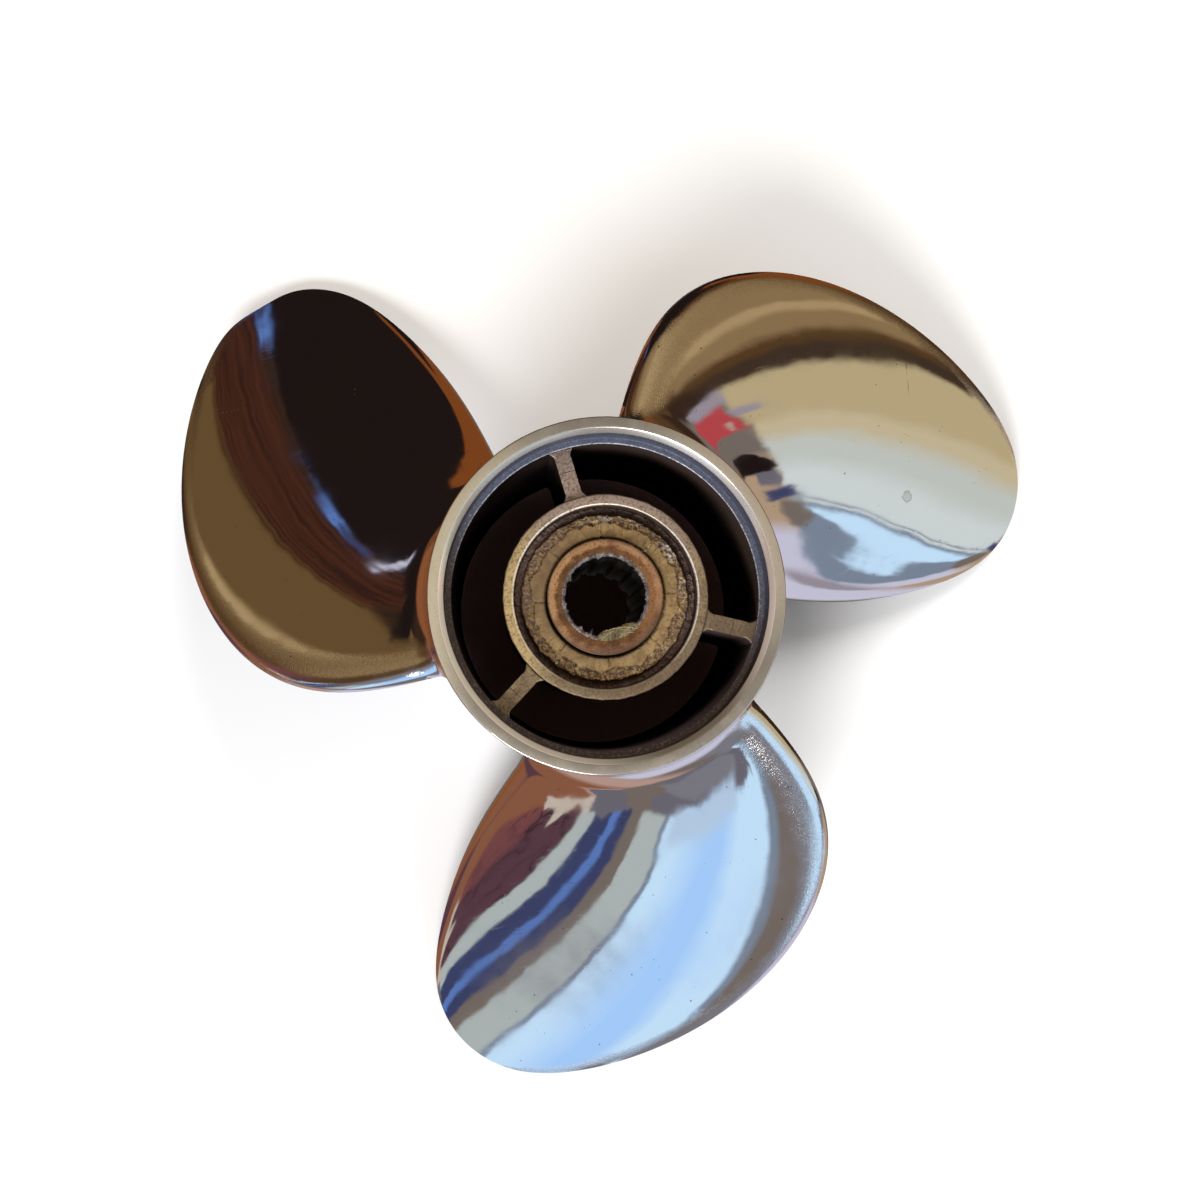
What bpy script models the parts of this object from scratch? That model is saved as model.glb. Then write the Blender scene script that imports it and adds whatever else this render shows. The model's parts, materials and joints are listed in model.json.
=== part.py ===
"""Outboard boat propeller, cast in stainless steel, with three blades.

Exhaust leaves through the hub: an outer barrel carries the blades, and three ribs hold a
smaller tube on its axis. A rubber bushing is pressed into that tube, and a bronze sleeve
with internal splines is bonded into the rubber, where the engine's shaft goes.

Metres, +Z along the shaft towards the engine. The origin is on the shaft's axis, in the
plane of the hub's aft end, which the propeller stands on. +Y runs along the first rib.
"""

from math import atan, cos, pi, radians, sin, sqrt, tau

import bmesh
import bpy

GAP = 0.0003                  # between pieces that touch

# Barrel that carries the blades
HUB_RADIUS = 0.054
HUB_LENGTH = 0.120
BARREL_BORE = 0.0472
COUNTERBORE_RADIUS = 0.0491
COUNTERBORE_DEPTH = 0.011
RIM_ROUND = 0.0010            # outer edge of the front face
RIM_CHAMFER = 0.0016          # inner edge of the front face
FLARE_LENGTH = 0.020          # the aft end opens out into a skirt
FLARE_RISE = 0.0035
SKIRT_WALL = 0.0032
HUB_STEPS = 72

# Tube on the axis, and the ribs between the two
TUBE_OUTER = 0.0316
TUBE_BORE = 0.0281
TUBE_FRONT = HUB_LENGTH - 0.0095
TUBE_AFT = 0.018
TUBE_LIP_RADIUS = 0.0215      # a lip at the aft end stops the bushing
TUBE_LIP_LENGTH = 0.005
TUBE_CHAMFER = 0.0006
TUBE_STEPS = 60
RIB_COUNT = 3
RIB_THICKNESS = 0.0050
RIB_FILLET = 0.0030
RIB_FRONT = HUB_LENGTH - 0.012
RIB_AFT = 0.024

# Bushing and sleeve
BUSHING_FRONT = HUB_LENGTH - 0.014
BUSHING_AFT = TUBE_AFT + TUBE_LIP_LENGTH + GAP
BUSHING_ROUND = 0.0016
SLEEVE_OUTER = 0.0179
SLEEVE_FRONT = HUB_LENGTH - 0.011
SLEEVE_AFT = 0.026
SLEEVE_MOUTH_RADIUS = 0.0132  # plain entrance in front of the splines
SLEEVE_MOUTH_DEPTH = 0.006
SPLINE_COUNT = 13
SPLINE_ROOT = 0.0130
SPLINE_CREST = 0.0119

# Blades: sections on cylinders about the shaft, all on one right-hand helix
BLADE_COUNT = 3
TIP_RADIUS = 0.1667
PITCH = 0.339
HALF_ROOT = 39.4              # half the width of the root, in degrees about the shaft
BLADE_HEIGHT = 0.0413         # of the helix at the hub, at angle 0
RAKE = 0.210                  # fall of the blade per metre outwards
RAKE_CURVE = 0.85             # and the growth of that fall per metre
ROOT_THICKNESS = 0.0085
TIP_THICKNESS = 0.0030
EDGE_THICKNESS = 0.0018
EDGE_RAMP = 0.10              # the smaller, the sooner the blade thickens from its edge
ROOT_FILLET = 0.0080
END_FILLET = 0.0022           # the fillet is smaller round the two edges
FACE_POINTS = 13              # across each face of a section
EDGE_POINTS = 3               # round each edge
SPAN_ROWS = 17                # sections from the fillet to the tip
FILLET_ROWS = 5

COLOURS = {
    "polished_steel": ((0.62, 0.60, 0.57), 0.08, 1.0),
    "cast_steel": ((0.20, 0.18, 0.17), 0.55, 1.0),
    "rubber": ((0.36, 0.29, 0.15), 0.80, 0.0),
    "bronze": ((0.58, 0.36, 0.16), 0.45, 1.0),
}


def clear_scene():
    for obj in list(bpy.data.objects):
        bpy.data.objects.remove(obj, do_unlink=True)


def material(name):
    colour, roughness, metallic = COLOURS[name]
    mat = bpy.data.materials.get(name) or bpy.data.materials.new(name)
    mat.use_nodes = True
    shader = mat.node_tree.nodes["Principled BSDF"]
    shader.inputs["Base Color"].default_value = (*colour, 1.0)
    shader.inputs["Roughness"].default_value = roughness
    shader.inputs["Metallic"].default_value = metallic
    return mat


def add_object(name, data, collection, finish):
    obj = bpy.data.objects.new(name, data)
    data.materials.append(material(finish))
    collection.objects.link(obj)
    return obj


def shade(mesh, angle=35):
    mesh.shade_smooth()
    mesh.set_sharp_from_angle(angle=radians(angle))


def arc(centre_r, centre_z, radius, start, end, steps):
    """Points of an arc in the r-z plane, angles in degrees from +r towards +z."""
    turns = [radians(start + (end - start) * i / steps) for i in range(steps + 1)]
    return [(centre_r + radius * cos(a), centre_z + radius * sin(a)) for a in turns]


def turned(name, profile, steps, collection, finish):
    """Turn a closed r-z profile, listed down its outer side first, about the shaft."""
    mesh = bpy.data.meshes.new(name)
    edges = [(i, (i + 1) % len(profile)) for i in range(len(profile))]
    mesh.from_pydata([(r, 0.0, z) for r, z in profile], edges, [])
    obj = add_object(name, mesh, collection, finish)
    screw = obj.modifiers.new("turn", "SCREW")
    screw.angle = tau
    screw.steps = steps
    screw.render_steps = steps
    screw.use_merge_vertices = True
    screw.merge_threshold = 0.00001
    screw.use_smooth_shade = True
    return obj


def build_outer_hub(collection):
    def skirt(z):
        """How far the aft end has opened out at height z."""
        return FLARE_RISE * max(0.0, 1.0 - z / FLARE_LENGTH) ** 2

    levels = [FLARE_LENGTH * (1.0 - i / 5) for i in range(6)]
    bore_rise = HUB_RADIUS + FLARE_RISE - SKIRT_WALL - BARREL_BORE
    outside = [(HUB_RADIUS + skirt(z), z) for z in levels]
    inside = [(BARREL_BORE + bore_rise * skirt(z) / FLARE_RISE, z) for z in reversed(levels)]
    ledge = HUB_LENGTH - COUNTERBORE_DEPTH
    profile = (
        arc(HUB_RADIUS - RIM_ROUND, HUB_LENGTH - RIM_ROUND, RIM_ROUND, 90, 0, 3)
        + outside
        + inside
        + [
            (BARREL_BORE, ledge),
            (COUNTERBORE_RADIUS, ledge),
            (COUNTERBORE_RADIUS, HUB_LENGTH - RIM_CHAMFER),
            (COUNTERBORE_RADIUS + RIM_CHAMFER, HUB_LENGTH),
        ]
    )
    return turned("outer_hub", profile, HUB_STEPS, collection, "polished_steel")


def build_inner_hub(collection):
    lip_top = TUBE_AFT + TUBE_LIP_LENGTH
    profile = [
        (TUBE_OUTER - TUBE_CHAMFER, TUBE_FRONT),
        (TUBE_OUTER, TUBE_FRONT - TUBE_CHAMFER),
        (TUBE_OUTER, TUBE_AFT),
        (TUBE_LIP_RADIUS, TUBE_AFT),
        (TUBE_LIP_RADIUS, lip_top),
        (TUBE_BORE, lip_top),
        (TUBE_BORE, TUBE_FRONT - TUBE_CHAMFER),
        (TUBE_BORE + TUBE_CHAMFER, TUBE_FRONT),
    ]
    return turned("inner_hub", profile, TUBE_STEPS, collection, "cast_steel")


def build_bushing(collection):
    outer = TUBE_BORE - GAP
    bore = SLEEVE_OUTER + GAP
    profile = arc(
        outer - BUSHING_ROUND, BUSHING_FRONT - BUSHING_ROUND, BUSHING_ROUND, 90, 0, 3
    ) + [(outer, BUSHING_AFT), (bore, BUSHING_AFT), (bore, BUSHING_FRONT)]
    return turned("rubber_bushing", profile, TUBE_STEPS, collection, "rubber")


def flat_outline(name, outlines, bottom, top):
    """A 2D curve with one closed spline for each outline, extruded from bottom to top."""
    curve = bpy.data.curves.new(name, "CURVE")
    curve.dimensions = "2D"
    curve.fill_mode = "BOTH"
    curve.extrude = (top - bottom) / 2
    for points in outlines:
        spline = curve.splines.new("POLY")
        spline.points.add(len(points) - 1)
        for point, (x, y) in zip(spline.points, points):
            point.co = (x, y, 0.0, 1.0)
        spline.use_cyclic_u = True
    return curve


def ring_points(radius, count):
    return [(radius * cos(tau * i / count), radius * sin(tau * i / count)) for i in range(count)]


def spline_points():
    """The sleeve's bore: a trapezoid for each tooth of the spline."""
    points = []
    space = tau / SPLINE_COUNT
    for tooth in range(SPLINE_COUNT):
        for share, radius in (
            (0.10, SPLINE_ROOT),
            (0.25, SPLINE_ROOT),
            (0.40, SPLINE_ROOT),
            (0.60, SPLINE_CREST),
            (0.90, SPLINE_CREST),
        ):
            angle = space * (tooth + share)
            points.append((radius * cos(angle), radius * sin(angle)))
    return points


def as_mesh(obj, collection, finish):
    """Replace a curve object by its mesh, with the loose caps welded on."""
    evaluated = obj.evaluated_get(bpy.context.evaluated_depsgraph_get())
    mesh = bpy.data.meshes.new_from_object(evaluated)
    welded = bmesh.new()
    welded.from_mesh(mesh)
    bmesh.ops.remove_doubles(welded, verts=welded.verts, dist=0.00001)
    bmesh.ops.recalc_face_normals(welded, faces=welded.faces)
    welded.to_mesh(mesh)
    welded.free()
    name = obj.name
    place = obj.matrix_world.copy()
    bpy.data.objects.remove(obj, do_unlink=True)
    mesh.materials.clear()
    solid = add_object(name, mesh, collection, finish)
    solid.matrix_world = place
    return solid


def build_sleeve(collection, cutters):
    outlines = [ring_points(SLEEVE_OUTER, TUBE_STEPS), spline_points()]
    curve = flat_outline("splined_sleeve", outlines, SLEEVE_AFT, SLEEVE_FRONT)
    blank = add_object("splined_sleeve", curve, collection, "bronze")
    blank.location.z = (SLEEVE_AFT + SLEEVE_FRONT) / 2
    bpy.context.view_layer.update()
    sleeve = as_mesh(blank, collection, "bronze")

    bpy.ops.mesh.primitive_cylinder_add(
        vertices=TUBE_STEPS,
        radius=SLEEVE_MOUTH_RADIUS,
        depth=2 * SLEEVE_MOUTH_DEPTH,
        location=(0, 0, SLEEVE_FRONT),
    )
    mouth = bpy.context.object
    mouth.name = "sleeve_mouth"
    mouth.display_type = "WIRE"
    mouth.hide_render = True
    for holder in list(mouth.users_collection):
        holder.objects.unlink(mouth)
    cutters.objects.link(mouth)
    cut = sleeve.modifiers.new("mouth", "BOOLEAN")
    cut.operation = "DIFFERENCE"
    cut.object = mouth
    return sleeve


def rib_outline():
    """A rib along +X, flared by a fillet where it meets the tube and the barrel."""
    half = RIB_THICKNESS / 2
    inner = TUBE_OUTER + GAP
    outer = BARREL_BORE - GAP
    reach = half + RIB_FILLET
    inner_foot = sqrt(inner**2 - reach**2)
    outer_foot = sqrt(outer**2 - reach**2)
    side = arc(inner_foot + RIB_FILLET, reach, RIB_FILLET, 180, 270, 4)
    side += arc(outer_foot - RIB_FILLET, reach, RIB_FILLET, 270, 360, 4)
    across = [reach * share for share in (0.5, 0.0, -0.5)]
    outer_end = [(sqrt(outer**2 - y**2), y) for y in across]
    inner_end = [(sqrt(inner**2 - y**2), y) for y in reversed(across)]
    return side + outer_end + [(x, -y) for x, y in reversed(side)] + inner_end


def build_ribs(collection):
    curve = flat_outline("rib", [rib_outline()], RIB_AFT, RIB_FRONT)
    curve.materials.append(material("cast_steel"))
    for i in range(RIB_COUNT):
        rib = bpy.data.objects.new(f"rib_{i + 1}", curve)
        rib.location.z = (RIB_AFT + RIB_FRONT) / 2
        rib.rotation_euler.z = radians(90) + tau * i / RIB_COUNT
        collection.objects.link(rib)


def blade_plan(share):
    """Middle angle and half width of a section, in radians about the shaft.

    share is 0 at the hub and 1 at the tip. The blade is widest a third of the way out,
    closes in a round tip, and its middle line sweeps back, away from the leading edge.
    """
    half = (HALF_ROOT + 5.5 * share - 26.9 * share**2) * sqrt(max(0.0, 1.0 - share**4))
    middle = 22.6 + 6.3 * (1.0 - share) ** 4 - 47.3 * share**4 + 28.4 * share**6
    return radians(middle), radians(half)


def fillet(distance, radius):
    """How far a fillet stands out from a wall, at a distance from the other wall."""
    if distance >= radius:
        return 0.0
    return radius - sqrt(radius**2 - (radius - distance) ** 2)


def blade_section(share):
    """One section as two faces and two round edges, each a list of (along, off).

    along is measured on the helix from the middle of the section to the leading edge,
    and off is square to it, towards the engine. The aft face is flat and pushes the
    water, and the forward face is crowned.
    """
    radius = HUB_RADIUS + share * (TIP_RADIUS - HUB_RADIUS)
    slope = atan(PITCH / tau / radius)
    middle, half = blade_plan(share)
    distance = radius - HUB_RADIUS
    end = fillet(distance, END_FILLET)
    reach = half * radius / cos(slope) + end
    edge = min(EDGE_THICKNESS / 2 + end, reach / 2)
    thickness = ROOT_THICKNESS + (TIP_THICKNESS - ROOT_THICKNESS) * share
    crown = (thickness - EDGE_THICKNESS) * (1.0 + EDGE_RAMP)
    spread = fillet(distance, ROOT_FILLET) - end
    flat = reach - edge

    forward, aft = [], []
    for i in range(FACE_POINTS):
        place = cos(pi * i / (FACE_POINTS - 1))
        bulge = max(0.0, 1.0 - place**2)
        inside = bulge * (half / radians(HALF_ROOT)) ** 2
        root = spread * bulge**0.4
        forward.append((flat * place, edge + crown * inside / (inside + EDGE_RAMP) + root))
        aft.append((flat * place, -edge - root))
    turns = [pi * (i + 1) / (EDGE_POINTS + 1) for i in range(EDGE_POINTS)]
    trailing = [(-flat - edge * sin(a), edge * cos(a)) for a in turns]
    leading = [(flat + edge * sin(a), -edge * cos(a)) for a in turns]
    return forward, trailing, aft[::-1], leading


def on_helix(share, along, off):
    radius = HUB_RADIUS + GAP + share * (TIP_RADIUS - HUB_RADIUS - GAP)
    slope = atan(PITCH / tau / radius)
    middle, _ = blade_plan(share)
    angle = middle + (along * cos(slope) - off * sin(slope)) / radius
    out = radius - HUB_RADIUS
    height = BLADE_HEIGHT + PITCH / tau * middle - RAKE * out - RAKE_CURVE * out**2
    height += along * sin(slope) + off * cos(slope)
    return (radius * cos(angle), radius * sin(angle), height)


def blade_shares():
    """Places of the sections from hub to tip, closer in the fillet and at the tip."""
    span = TIP_RADIUS - HUB_RADIUS
    start = ROOT_FILLET / span
    fillet_turns = [0.5 * pi * i / FILLET_ROWS for i in range(FILLET_ROWS)]
    span_turns = [0.5 * pi * i / SPAN_ROWS for i in range(SPAN_ROWS)]
    shares = [start * (1.0 - cos(a)) for a in fillet_turns]
    shares += [start + (1.0 - start) * sin(a) for a in span_turns]
    return shares + [0.9999]


def close_section(shape, ring, share, sections, facing_out):
    """Close an end of the blade with a strip of triangles along each half of the section.

    Their long sides run nearly along the shaft, so the end keeps to its cylinder.
    """
    forward, trailing, aft, leading = sections
    aft_back = aft[::-1]
    spine = []
    for front, back in zip(forward, aft_back):
        along = (front[0] + back[0]) / 2
        off = (front[1] + back[1]) / 2
        spine.append(shape.verts.new(on_helix(share, along, off)))
    count = len(forward)
    top = ring[:count]
    tail = ring[count:count + len(trailing)]
    bottom = ring[count + len(trailing):2 * count + len(trailing)][::-1]
    nose = ring[2 * count + len(trailing):]
    faces = []
    for high, low in ((top, spine), (spine, bottom)):
        for i in range(count - 1):
            faces.append((high[i], high[i + 1], low[i + 1]))
            faces.append((high[i], low[i + 1], low[i]))
    for hub, fan in (
        (spine[-1], [top[-1], *tail, bottom[-1]]),
        (spine[0], [bottom[0], *nose, top[0]]),
    ):
        faces += [(hub, a, b) for a, b in zip(fan, fan[1:])]
    for face in faces:
        shape.faces.new(face if facing_out else face[::-1])


def blade_mesh():
    shape = bmesh.new()
    rings = []
    shares = blade_shares()
    for share in shares:
        sections = blade_section(share)
        points = [point for part in sections for point in part]
        rings.append([shape.verts.new(on_helix(share, *point)) for point in points])
    for low, high in zip(rings, rings[1:]):
        for i in range(len(low)):
            j = (i + 1) % len(low)
            shape.faces.new((low[i], low[j], high[j], high[i]))
    close_section(shape, rings[0], shares[0], blade_section(shares[0]), False)
    close_section(shape, rings[-1], shares[-1], blade_section(shares[-1]), True)
    bmesh.ops.recalc_face_normals(shape, faces=shape.faces)
    mesh = bpy.data.meshes.new("blade")
    shape.to_mesh(mesh)
    shape.free()
    shade(mesh, 60)
    return mesh


def build_blades(collection):
    mesh = blade_mesh()
    mesh.materials.append(material("polished_steel"))
    for i in range(BLADE_COUNT):
        blade = bpy.data.objects.new(f"blade_{i + 1}", mesh)
        blade.rotation_euler.z = tau * i / BLADE_COUNT
        collection.objects.link(blade)


def main():
    clear_scene()
    propeller = bpy.data.collections.new("boat_propeller")
    cutters = bpy.data.collections.new("cutters")
    for collection in (propeller, cutters):
        bpy.context.scene.collection.children.link(collection)
    build_outer_hub(propeller)
    build_inner_hub(propeller)
    build_ribs(propeller)
    build_blades(propeller)
    build_bushing(propeller)
    build_sleeve(propeller, cutters)


main()
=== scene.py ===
# %% [markdown]
# # A stainless steel boat propeller
#
# The object is one casting: a barrel with three blades outside, a smaller tube on its axis,
# and three ribs between them. A rubber bushing sits in the tube, and a bronze sleeve with
# splines sits in the rubber. The frame gives every place and size. Each piece here is the
# finer twin of a solid in it, with the finish that the solid lacks.

# %% Load the frame
import json
from math import atan, atan2, cos, degrees, exp, pi, radians, sin, sqrt, tau

import bmesh
import bpy
from mathutils import Matrix, Vector, noise

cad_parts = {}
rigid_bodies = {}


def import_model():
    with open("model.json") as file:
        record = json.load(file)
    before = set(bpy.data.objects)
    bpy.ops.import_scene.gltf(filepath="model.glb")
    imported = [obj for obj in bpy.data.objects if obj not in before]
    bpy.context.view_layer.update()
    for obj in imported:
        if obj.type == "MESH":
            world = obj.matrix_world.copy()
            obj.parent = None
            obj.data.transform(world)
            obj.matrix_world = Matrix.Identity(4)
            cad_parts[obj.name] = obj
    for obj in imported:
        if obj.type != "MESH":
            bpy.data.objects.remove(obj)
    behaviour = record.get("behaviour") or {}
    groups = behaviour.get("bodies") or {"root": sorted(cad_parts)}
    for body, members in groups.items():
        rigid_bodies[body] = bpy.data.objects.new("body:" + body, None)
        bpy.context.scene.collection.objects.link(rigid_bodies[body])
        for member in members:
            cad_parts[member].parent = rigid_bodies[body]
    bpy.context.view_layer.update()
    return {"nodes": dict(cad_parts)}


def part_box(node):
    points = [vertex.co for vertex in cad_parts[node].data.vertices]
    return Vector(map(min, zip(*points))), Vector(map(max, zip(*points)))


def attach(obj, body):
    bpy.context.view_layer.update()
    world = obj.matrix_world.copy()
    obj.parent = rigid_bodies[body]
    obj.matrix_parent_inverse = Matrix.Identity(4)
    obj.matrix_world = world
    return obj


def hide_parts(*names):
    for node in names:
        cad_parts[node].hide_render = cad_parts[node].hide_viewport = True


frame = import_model()

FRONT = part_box("outer_hub")[1].z
TUBE_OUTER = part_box("inner_hub")[1].x
TUBE_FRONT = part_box("inner_hub")[1].z
BUSHING_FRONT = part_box("rubber_bushing")[1].z
SLEEVE_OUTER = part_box("splined_sleeve")[1].x
SLEEVE_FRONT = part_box("splined_sleeve")[1].z
print(len(frame["nodes"]), "nodes")
print(f"front face at {FRONT * 1000:.1f} mm, sleeve {SLEEVE_OUTER * 2000:.1f} mm across")

# %% [markdown]
# ## Camera
#
# The photograph looks almost straight down the shaft from about half a metre. A camera
# near the axis would hide the pitch of the blades, so its small tilt matters more than its
# height. The camera is built as a chain: go down to the hub's front face, turn about the
# shaft, lean by two small angles, and step back.

# %% Make the camera
CAMERA_DISTANCE = 0.5096
CAMERA_ROLL = radians(17)
CAMERA_LEAN = radians(-2.92), radians(2.68)
CAMERA_SHIFT = 0.0022, 0.0015

view = (
    Matrix.Translation((*CAMERA_SHIFT, -CAMERA_DISTANCE))
    @ Matrix.Rotation(CAMERA_LEAN[0], 4, "X")
    @ Matrix.Rotation(CAMERA_LEAN[1], 4, "Y")
    @ Matrix.Rotation(CAMERA_ROLL, 4, "Z")
    @ Matrix.Translation((0, 0, -FRONT))
)
lens = bpy.data.cameras.new("camera")
lens.lens = 51
lens.sensor_width = 36
camera = bpy.data.objects.new("camera", lens)
camera.matrix_world = view.inverted()
bpy.context.scene.collection.objects.link(camera)
bpy.context.scene.camera = camera
print("camera at", [round(c, 3) for c in camera.matrix_world.translation])

# %% [markdown]
# ## Helpers for the pieces
#
# Most of the hub is turned work, so one helper does what a lathe does: it takes the corners
# of a closed profile, rounds each by its own radius, and spins them about the shaft. A
# corner that is rounded before the spin costs a few points instead of a bevelled ring.

# %% Add a finished shape as a piece of the propeller
def add_piece(name, shape, slot, *nodes, smooth=40):
    bmesh.ops.remove_doubles(shape, verts=shape.verts, dist=0.000002)
    bmesh.ops.recalc_face_normals(shape, faces=shape.faces)
    if shape.calc_volume(signed=True) < 0:
        bmesh.ops.reverse_faces(shape, faces=shape.faces)
    mesh = bpy.data.meshes.new(name)
    shape.to_mesh(mesh)
    shape.free()
    mesh.shade_smooth()
    mesh.set_sharp_from_angle(angle=radians(smooth))
    piece = bpy.data.objects.new(name, mesh)
    bpy.context.scene.collection.objects.link(piece)
    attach(piece, "root")
    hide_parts(*nodes)
    print(f"{name}: {len(mesh.polygons)} faces")
    return piece


# %% Turn a profile about the shaft
def draw_profile(shape, places, closed=True):
    """Join up places of (radius, height), and give their points."""
    points = [shape.verts.new((r, 0, z)) for r, z in places]
    for start, end in zip(points, points[1:] + points[:1] * closed):
        shape.edges.new((start, end))
    return points


def spin_round(shape, steps):
    bmesh.ops.spin(
        shape, geom=shape.verts[:] + shape.edges[:], cent=(0, 0, 0), axis=(0, 0, 1),
        dvec=(0, 0, 0), angle=tau, steps=steps, use_merge=True, use_duplicate=False,
    )


def turned(corners, steps, longest):
    """Corners are (radius, height, rounding); no straight run stays over the longest."""
    shape = bmesh.new()
    points = draw_profile(shape, [c[:2] for c in corners])
    for rounding in sorted({c[2] for c in corners if c[2] > 0}):
        chosen = [p for p, c in zip(points, corners) if c[2] == rounding]
        bmesh.ops.bevel(
            shape, geom=chosen, offset=rounding, affect="VERTICES",
            segments=4, profile=0.5, material=-1,
        )
    for edge in list(shape.edges):
        cuts = int(edge.calc_length() / longest)
        if cuts:
            bmesh.ops.subdivide_edges(shape, edges=[edge], cuts=cuts)
    spin_round(shape, steps)
    return shape


def polar(co):
    return sqrt(co.x**2 + co.y**2), atan2(co.y, co.x)


def grain(*place, size=0.001):
    """Smooth noise from -1 to 1 whose bumps are about that size."""
    return noise.noise(Vector(place) / size)


def smooth_step(low, high, value):
    share = min(1, max(0, (value - low) / (high - low)))
    return share * share * (3 - 2 * share)


# %% [markdown]
# ## Barrel
#
# The barrel is the round drum that the blades grow from. Its front face was turned on a
# lathe: a flat ring, a chamfer inside it, a short counterbore and a ledge. The inside
# behind the ledge is as cast. A profile and one spin make all of it.

# %% Turn the barrel
HUB_RADIUS = 0.054
BARREL_BORE = 0.0472
COUNTERBORE = 0.0491
COUNTERBORE_DEPTH = 0.011
RIM_CHAMFER = 0.0016
SKIRT_RISE = 0.0035
SKIRT_LENGTH = 0.020
SKIRT_WALL = 0.0032
LEDGE = FRONT - COUNTERBORE_DEPTH

skirt_levels = [SKIRT_LENGTH * (1 - i / 8) for i in range(9)]
skirt = [SKIRT_RISE * (1 - z / SKIRT_LENGTH) ** 2 for z in skirt_levels]
bore_rise = HUB_RADIUS + SKIRT_RISE - SKIRT_WALL - BARREL_BORE
barrel = turned(
    [(HUB_RADIUS, FRONT, 0.0005)]
    + [(HUB_RADIUS + rise, z, 0.0006 if z == 0 else 0) for rise, z in zip(skirt, skirt_levels)]
    + [
        (BARREL_BORE + bore_rise * rise / SKIRT_RISE, z, 0.0006 if z == 0 else 0)
        for rise, z in reversed(list(zip(skirt, skirt_levels)))
    ]
    + [
        (BARREL_BORE, LEDGE, 0.0003),
        (COUNTERBORE, LEDGE, 0.0002),
        (COUNTERBORE, FRONT - RIM_CHAMFER, 0.0002),
        (COUNTERBORE + RIM_CHAMFER, FRONT, 0.0003),
    ],
    steps=288, longest=0.006,
)
for vert in barrel.verts:
    radius, _ = polar(vert.co)
    if radius < BARREL_BORE + 0.0001 and vert.co.z < LEDGE - 0.0004:
        swell = 0.00025 * grain(*vert.co, size=0.006)
        vert.co.x += vert.co.x / radius * swell
        vert.co.y += vert.co.y / radius * swell
outer_hub = add_piece("outer_hub_turned", barrel, "barrel_steel", "outer_hub")

# %% [markdown]
# ## Tube on the axis
#
# The tube is part of the casting, and only its front face and bore were machined. The outer
# edge of the face is where the cutter left the rough skin, so it wanders by a few tenths of
# a millimetre. Noise on the points near that edge gives the wander.

# %% Turn the tube
TUBE_BORE = 0.0281
TUBE_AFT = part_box("inner_hub")[0].z
TUBE_LIP = 0.0215
TUBE_LIP_LENGTH = 0.005

tube = turned(
    [
        (TUBE_OUTER, TUBE_FRONT, 0.0005),
        (TUBE_OUTER, TUBE_AFT, 0.0008),
        (TUBE_LIP, TUBE_AFT, 0.0008),
        (TUBE_LIP, TUBE_AFT + TUBE_LIP_LENGTH, 0.0005),
        (TUBE_BORE, TUBE_AFT + TUBE_LIP_LENGTH, 0.0003),
        (TUBE_BORE, TUBE_FRONT, 0.0006),
    ],
    steps=360, longest=0.004,
)
for vert in tube.verts:
    radius, angle = polar(vert.co)
    if radius > TUBE_OUTER - 0.0007:
        depth = TUBE_FRONT - vert.co.z
        wander = 0.00022 * grain(cos(angle), sin(angle), depth / 0.02, size=0.06)
        wander += 0.00012 * grain(cos(angle), sin(angle), depth / 0.01, size=0.015)
        vert.co.x += vert.co.x / radius * (wander - 0.00012)
        vert.co.y += vert.co.y / radius * (wander - 0.00012)
inner_hub = add_piece("inner_hub_turned", tube, "cast_steel", "inner_hub")

# %% [markdown]
# ## Ribs
#
# Three webs hold the tube in the barrel. Each starts as a grid seen from the front. Moving
# the grid's long sides out towards its ends gives the cast fillets, and an extrusion gives
# the depth. The front edge is only lightly broken. Halfway along there is a fine dark line
# where the lathe's cut on the barrel ended, which the finish draws.

# %% Build one rib and turn it to three places
RIB_COUNT = 3
RIB_HALF = 0.0025
RIB_FILLET = 0.0030
RIB_FILLET_START = 0.0006
RIB_STEP_PLACE = 0.0402
RIB_SINK = 0.0003
RIB_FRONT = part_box("rib_1")[1].z
RIB_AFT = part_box("rib_1")[0].z


def flare(distance):
    """Half width of a rib at a distance from the wall it grows from."""
    inside = RIB_FILLET - min(RIB_FILLET, max(RIB_FILLET_START, distance))
    return RIB_HALF + RIB_FILLET - sqrt(RIB_FILLET**2 - inside**2)


rib_start = TUBE_OUTER - RIB_SINK
rib_end = BARREL_BORE + RIB_SINK
for number in range(RIB_COUNT):
    rib = bmesh.new()
    bmesh.ops.create_grid(rib, x_segments=48, y_segments=8, size=1)
    bmesh.ops.extrude_face_region(rib, geom=rib.faces[:], use_keep_orig=True)
    rib.verts.ensure_lookup_table()
    for vert in rib.verts[len(rib.verts) // 2:]:
        vert.co.z = -1
    for vert in rib.verts:
        share = (1 - cos(pi * (vert.co.x + 1) / 2)) / 2
        along = rib_start + share * (rib_end - rib_start)
        half = flare(min(along - rib_start, rib_end - along))
        across = vert.co.y * half
        bend = sqrt(max(0, along**2 - across**2)) - along
        is_front = vert.co.z == 0
        rough = 0.00006 * grain(along, across, number, size=0.002) - 0.00006
        vert.co = (along + bend, across, RIB_FRONT + rough if is_front else RIB_AFT)
    edges = [
        e for e in rib.edges
        if e.calc_face_angle(0) > 1 and min(v.co.z for v in e.verts) > RIB_FRONT - 0.001
    ]
    bmesh.ops.bevel(
        rib, geom=edges, offset=0.0005, affect="EDGES", segments=3, profile=0.5, material=-1,
    )
    turn = Matrix.Rotation(pi / 2 + tau * number / RIB_COUNT, 4, "Z")
    bmesh.ops.transform(rib, matrix=turn, verts=rib.verts)
    add_piece(f"rib_{number + 1}_cast", rib, "cast_steel", f"rib_{number + 1}")

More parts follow.
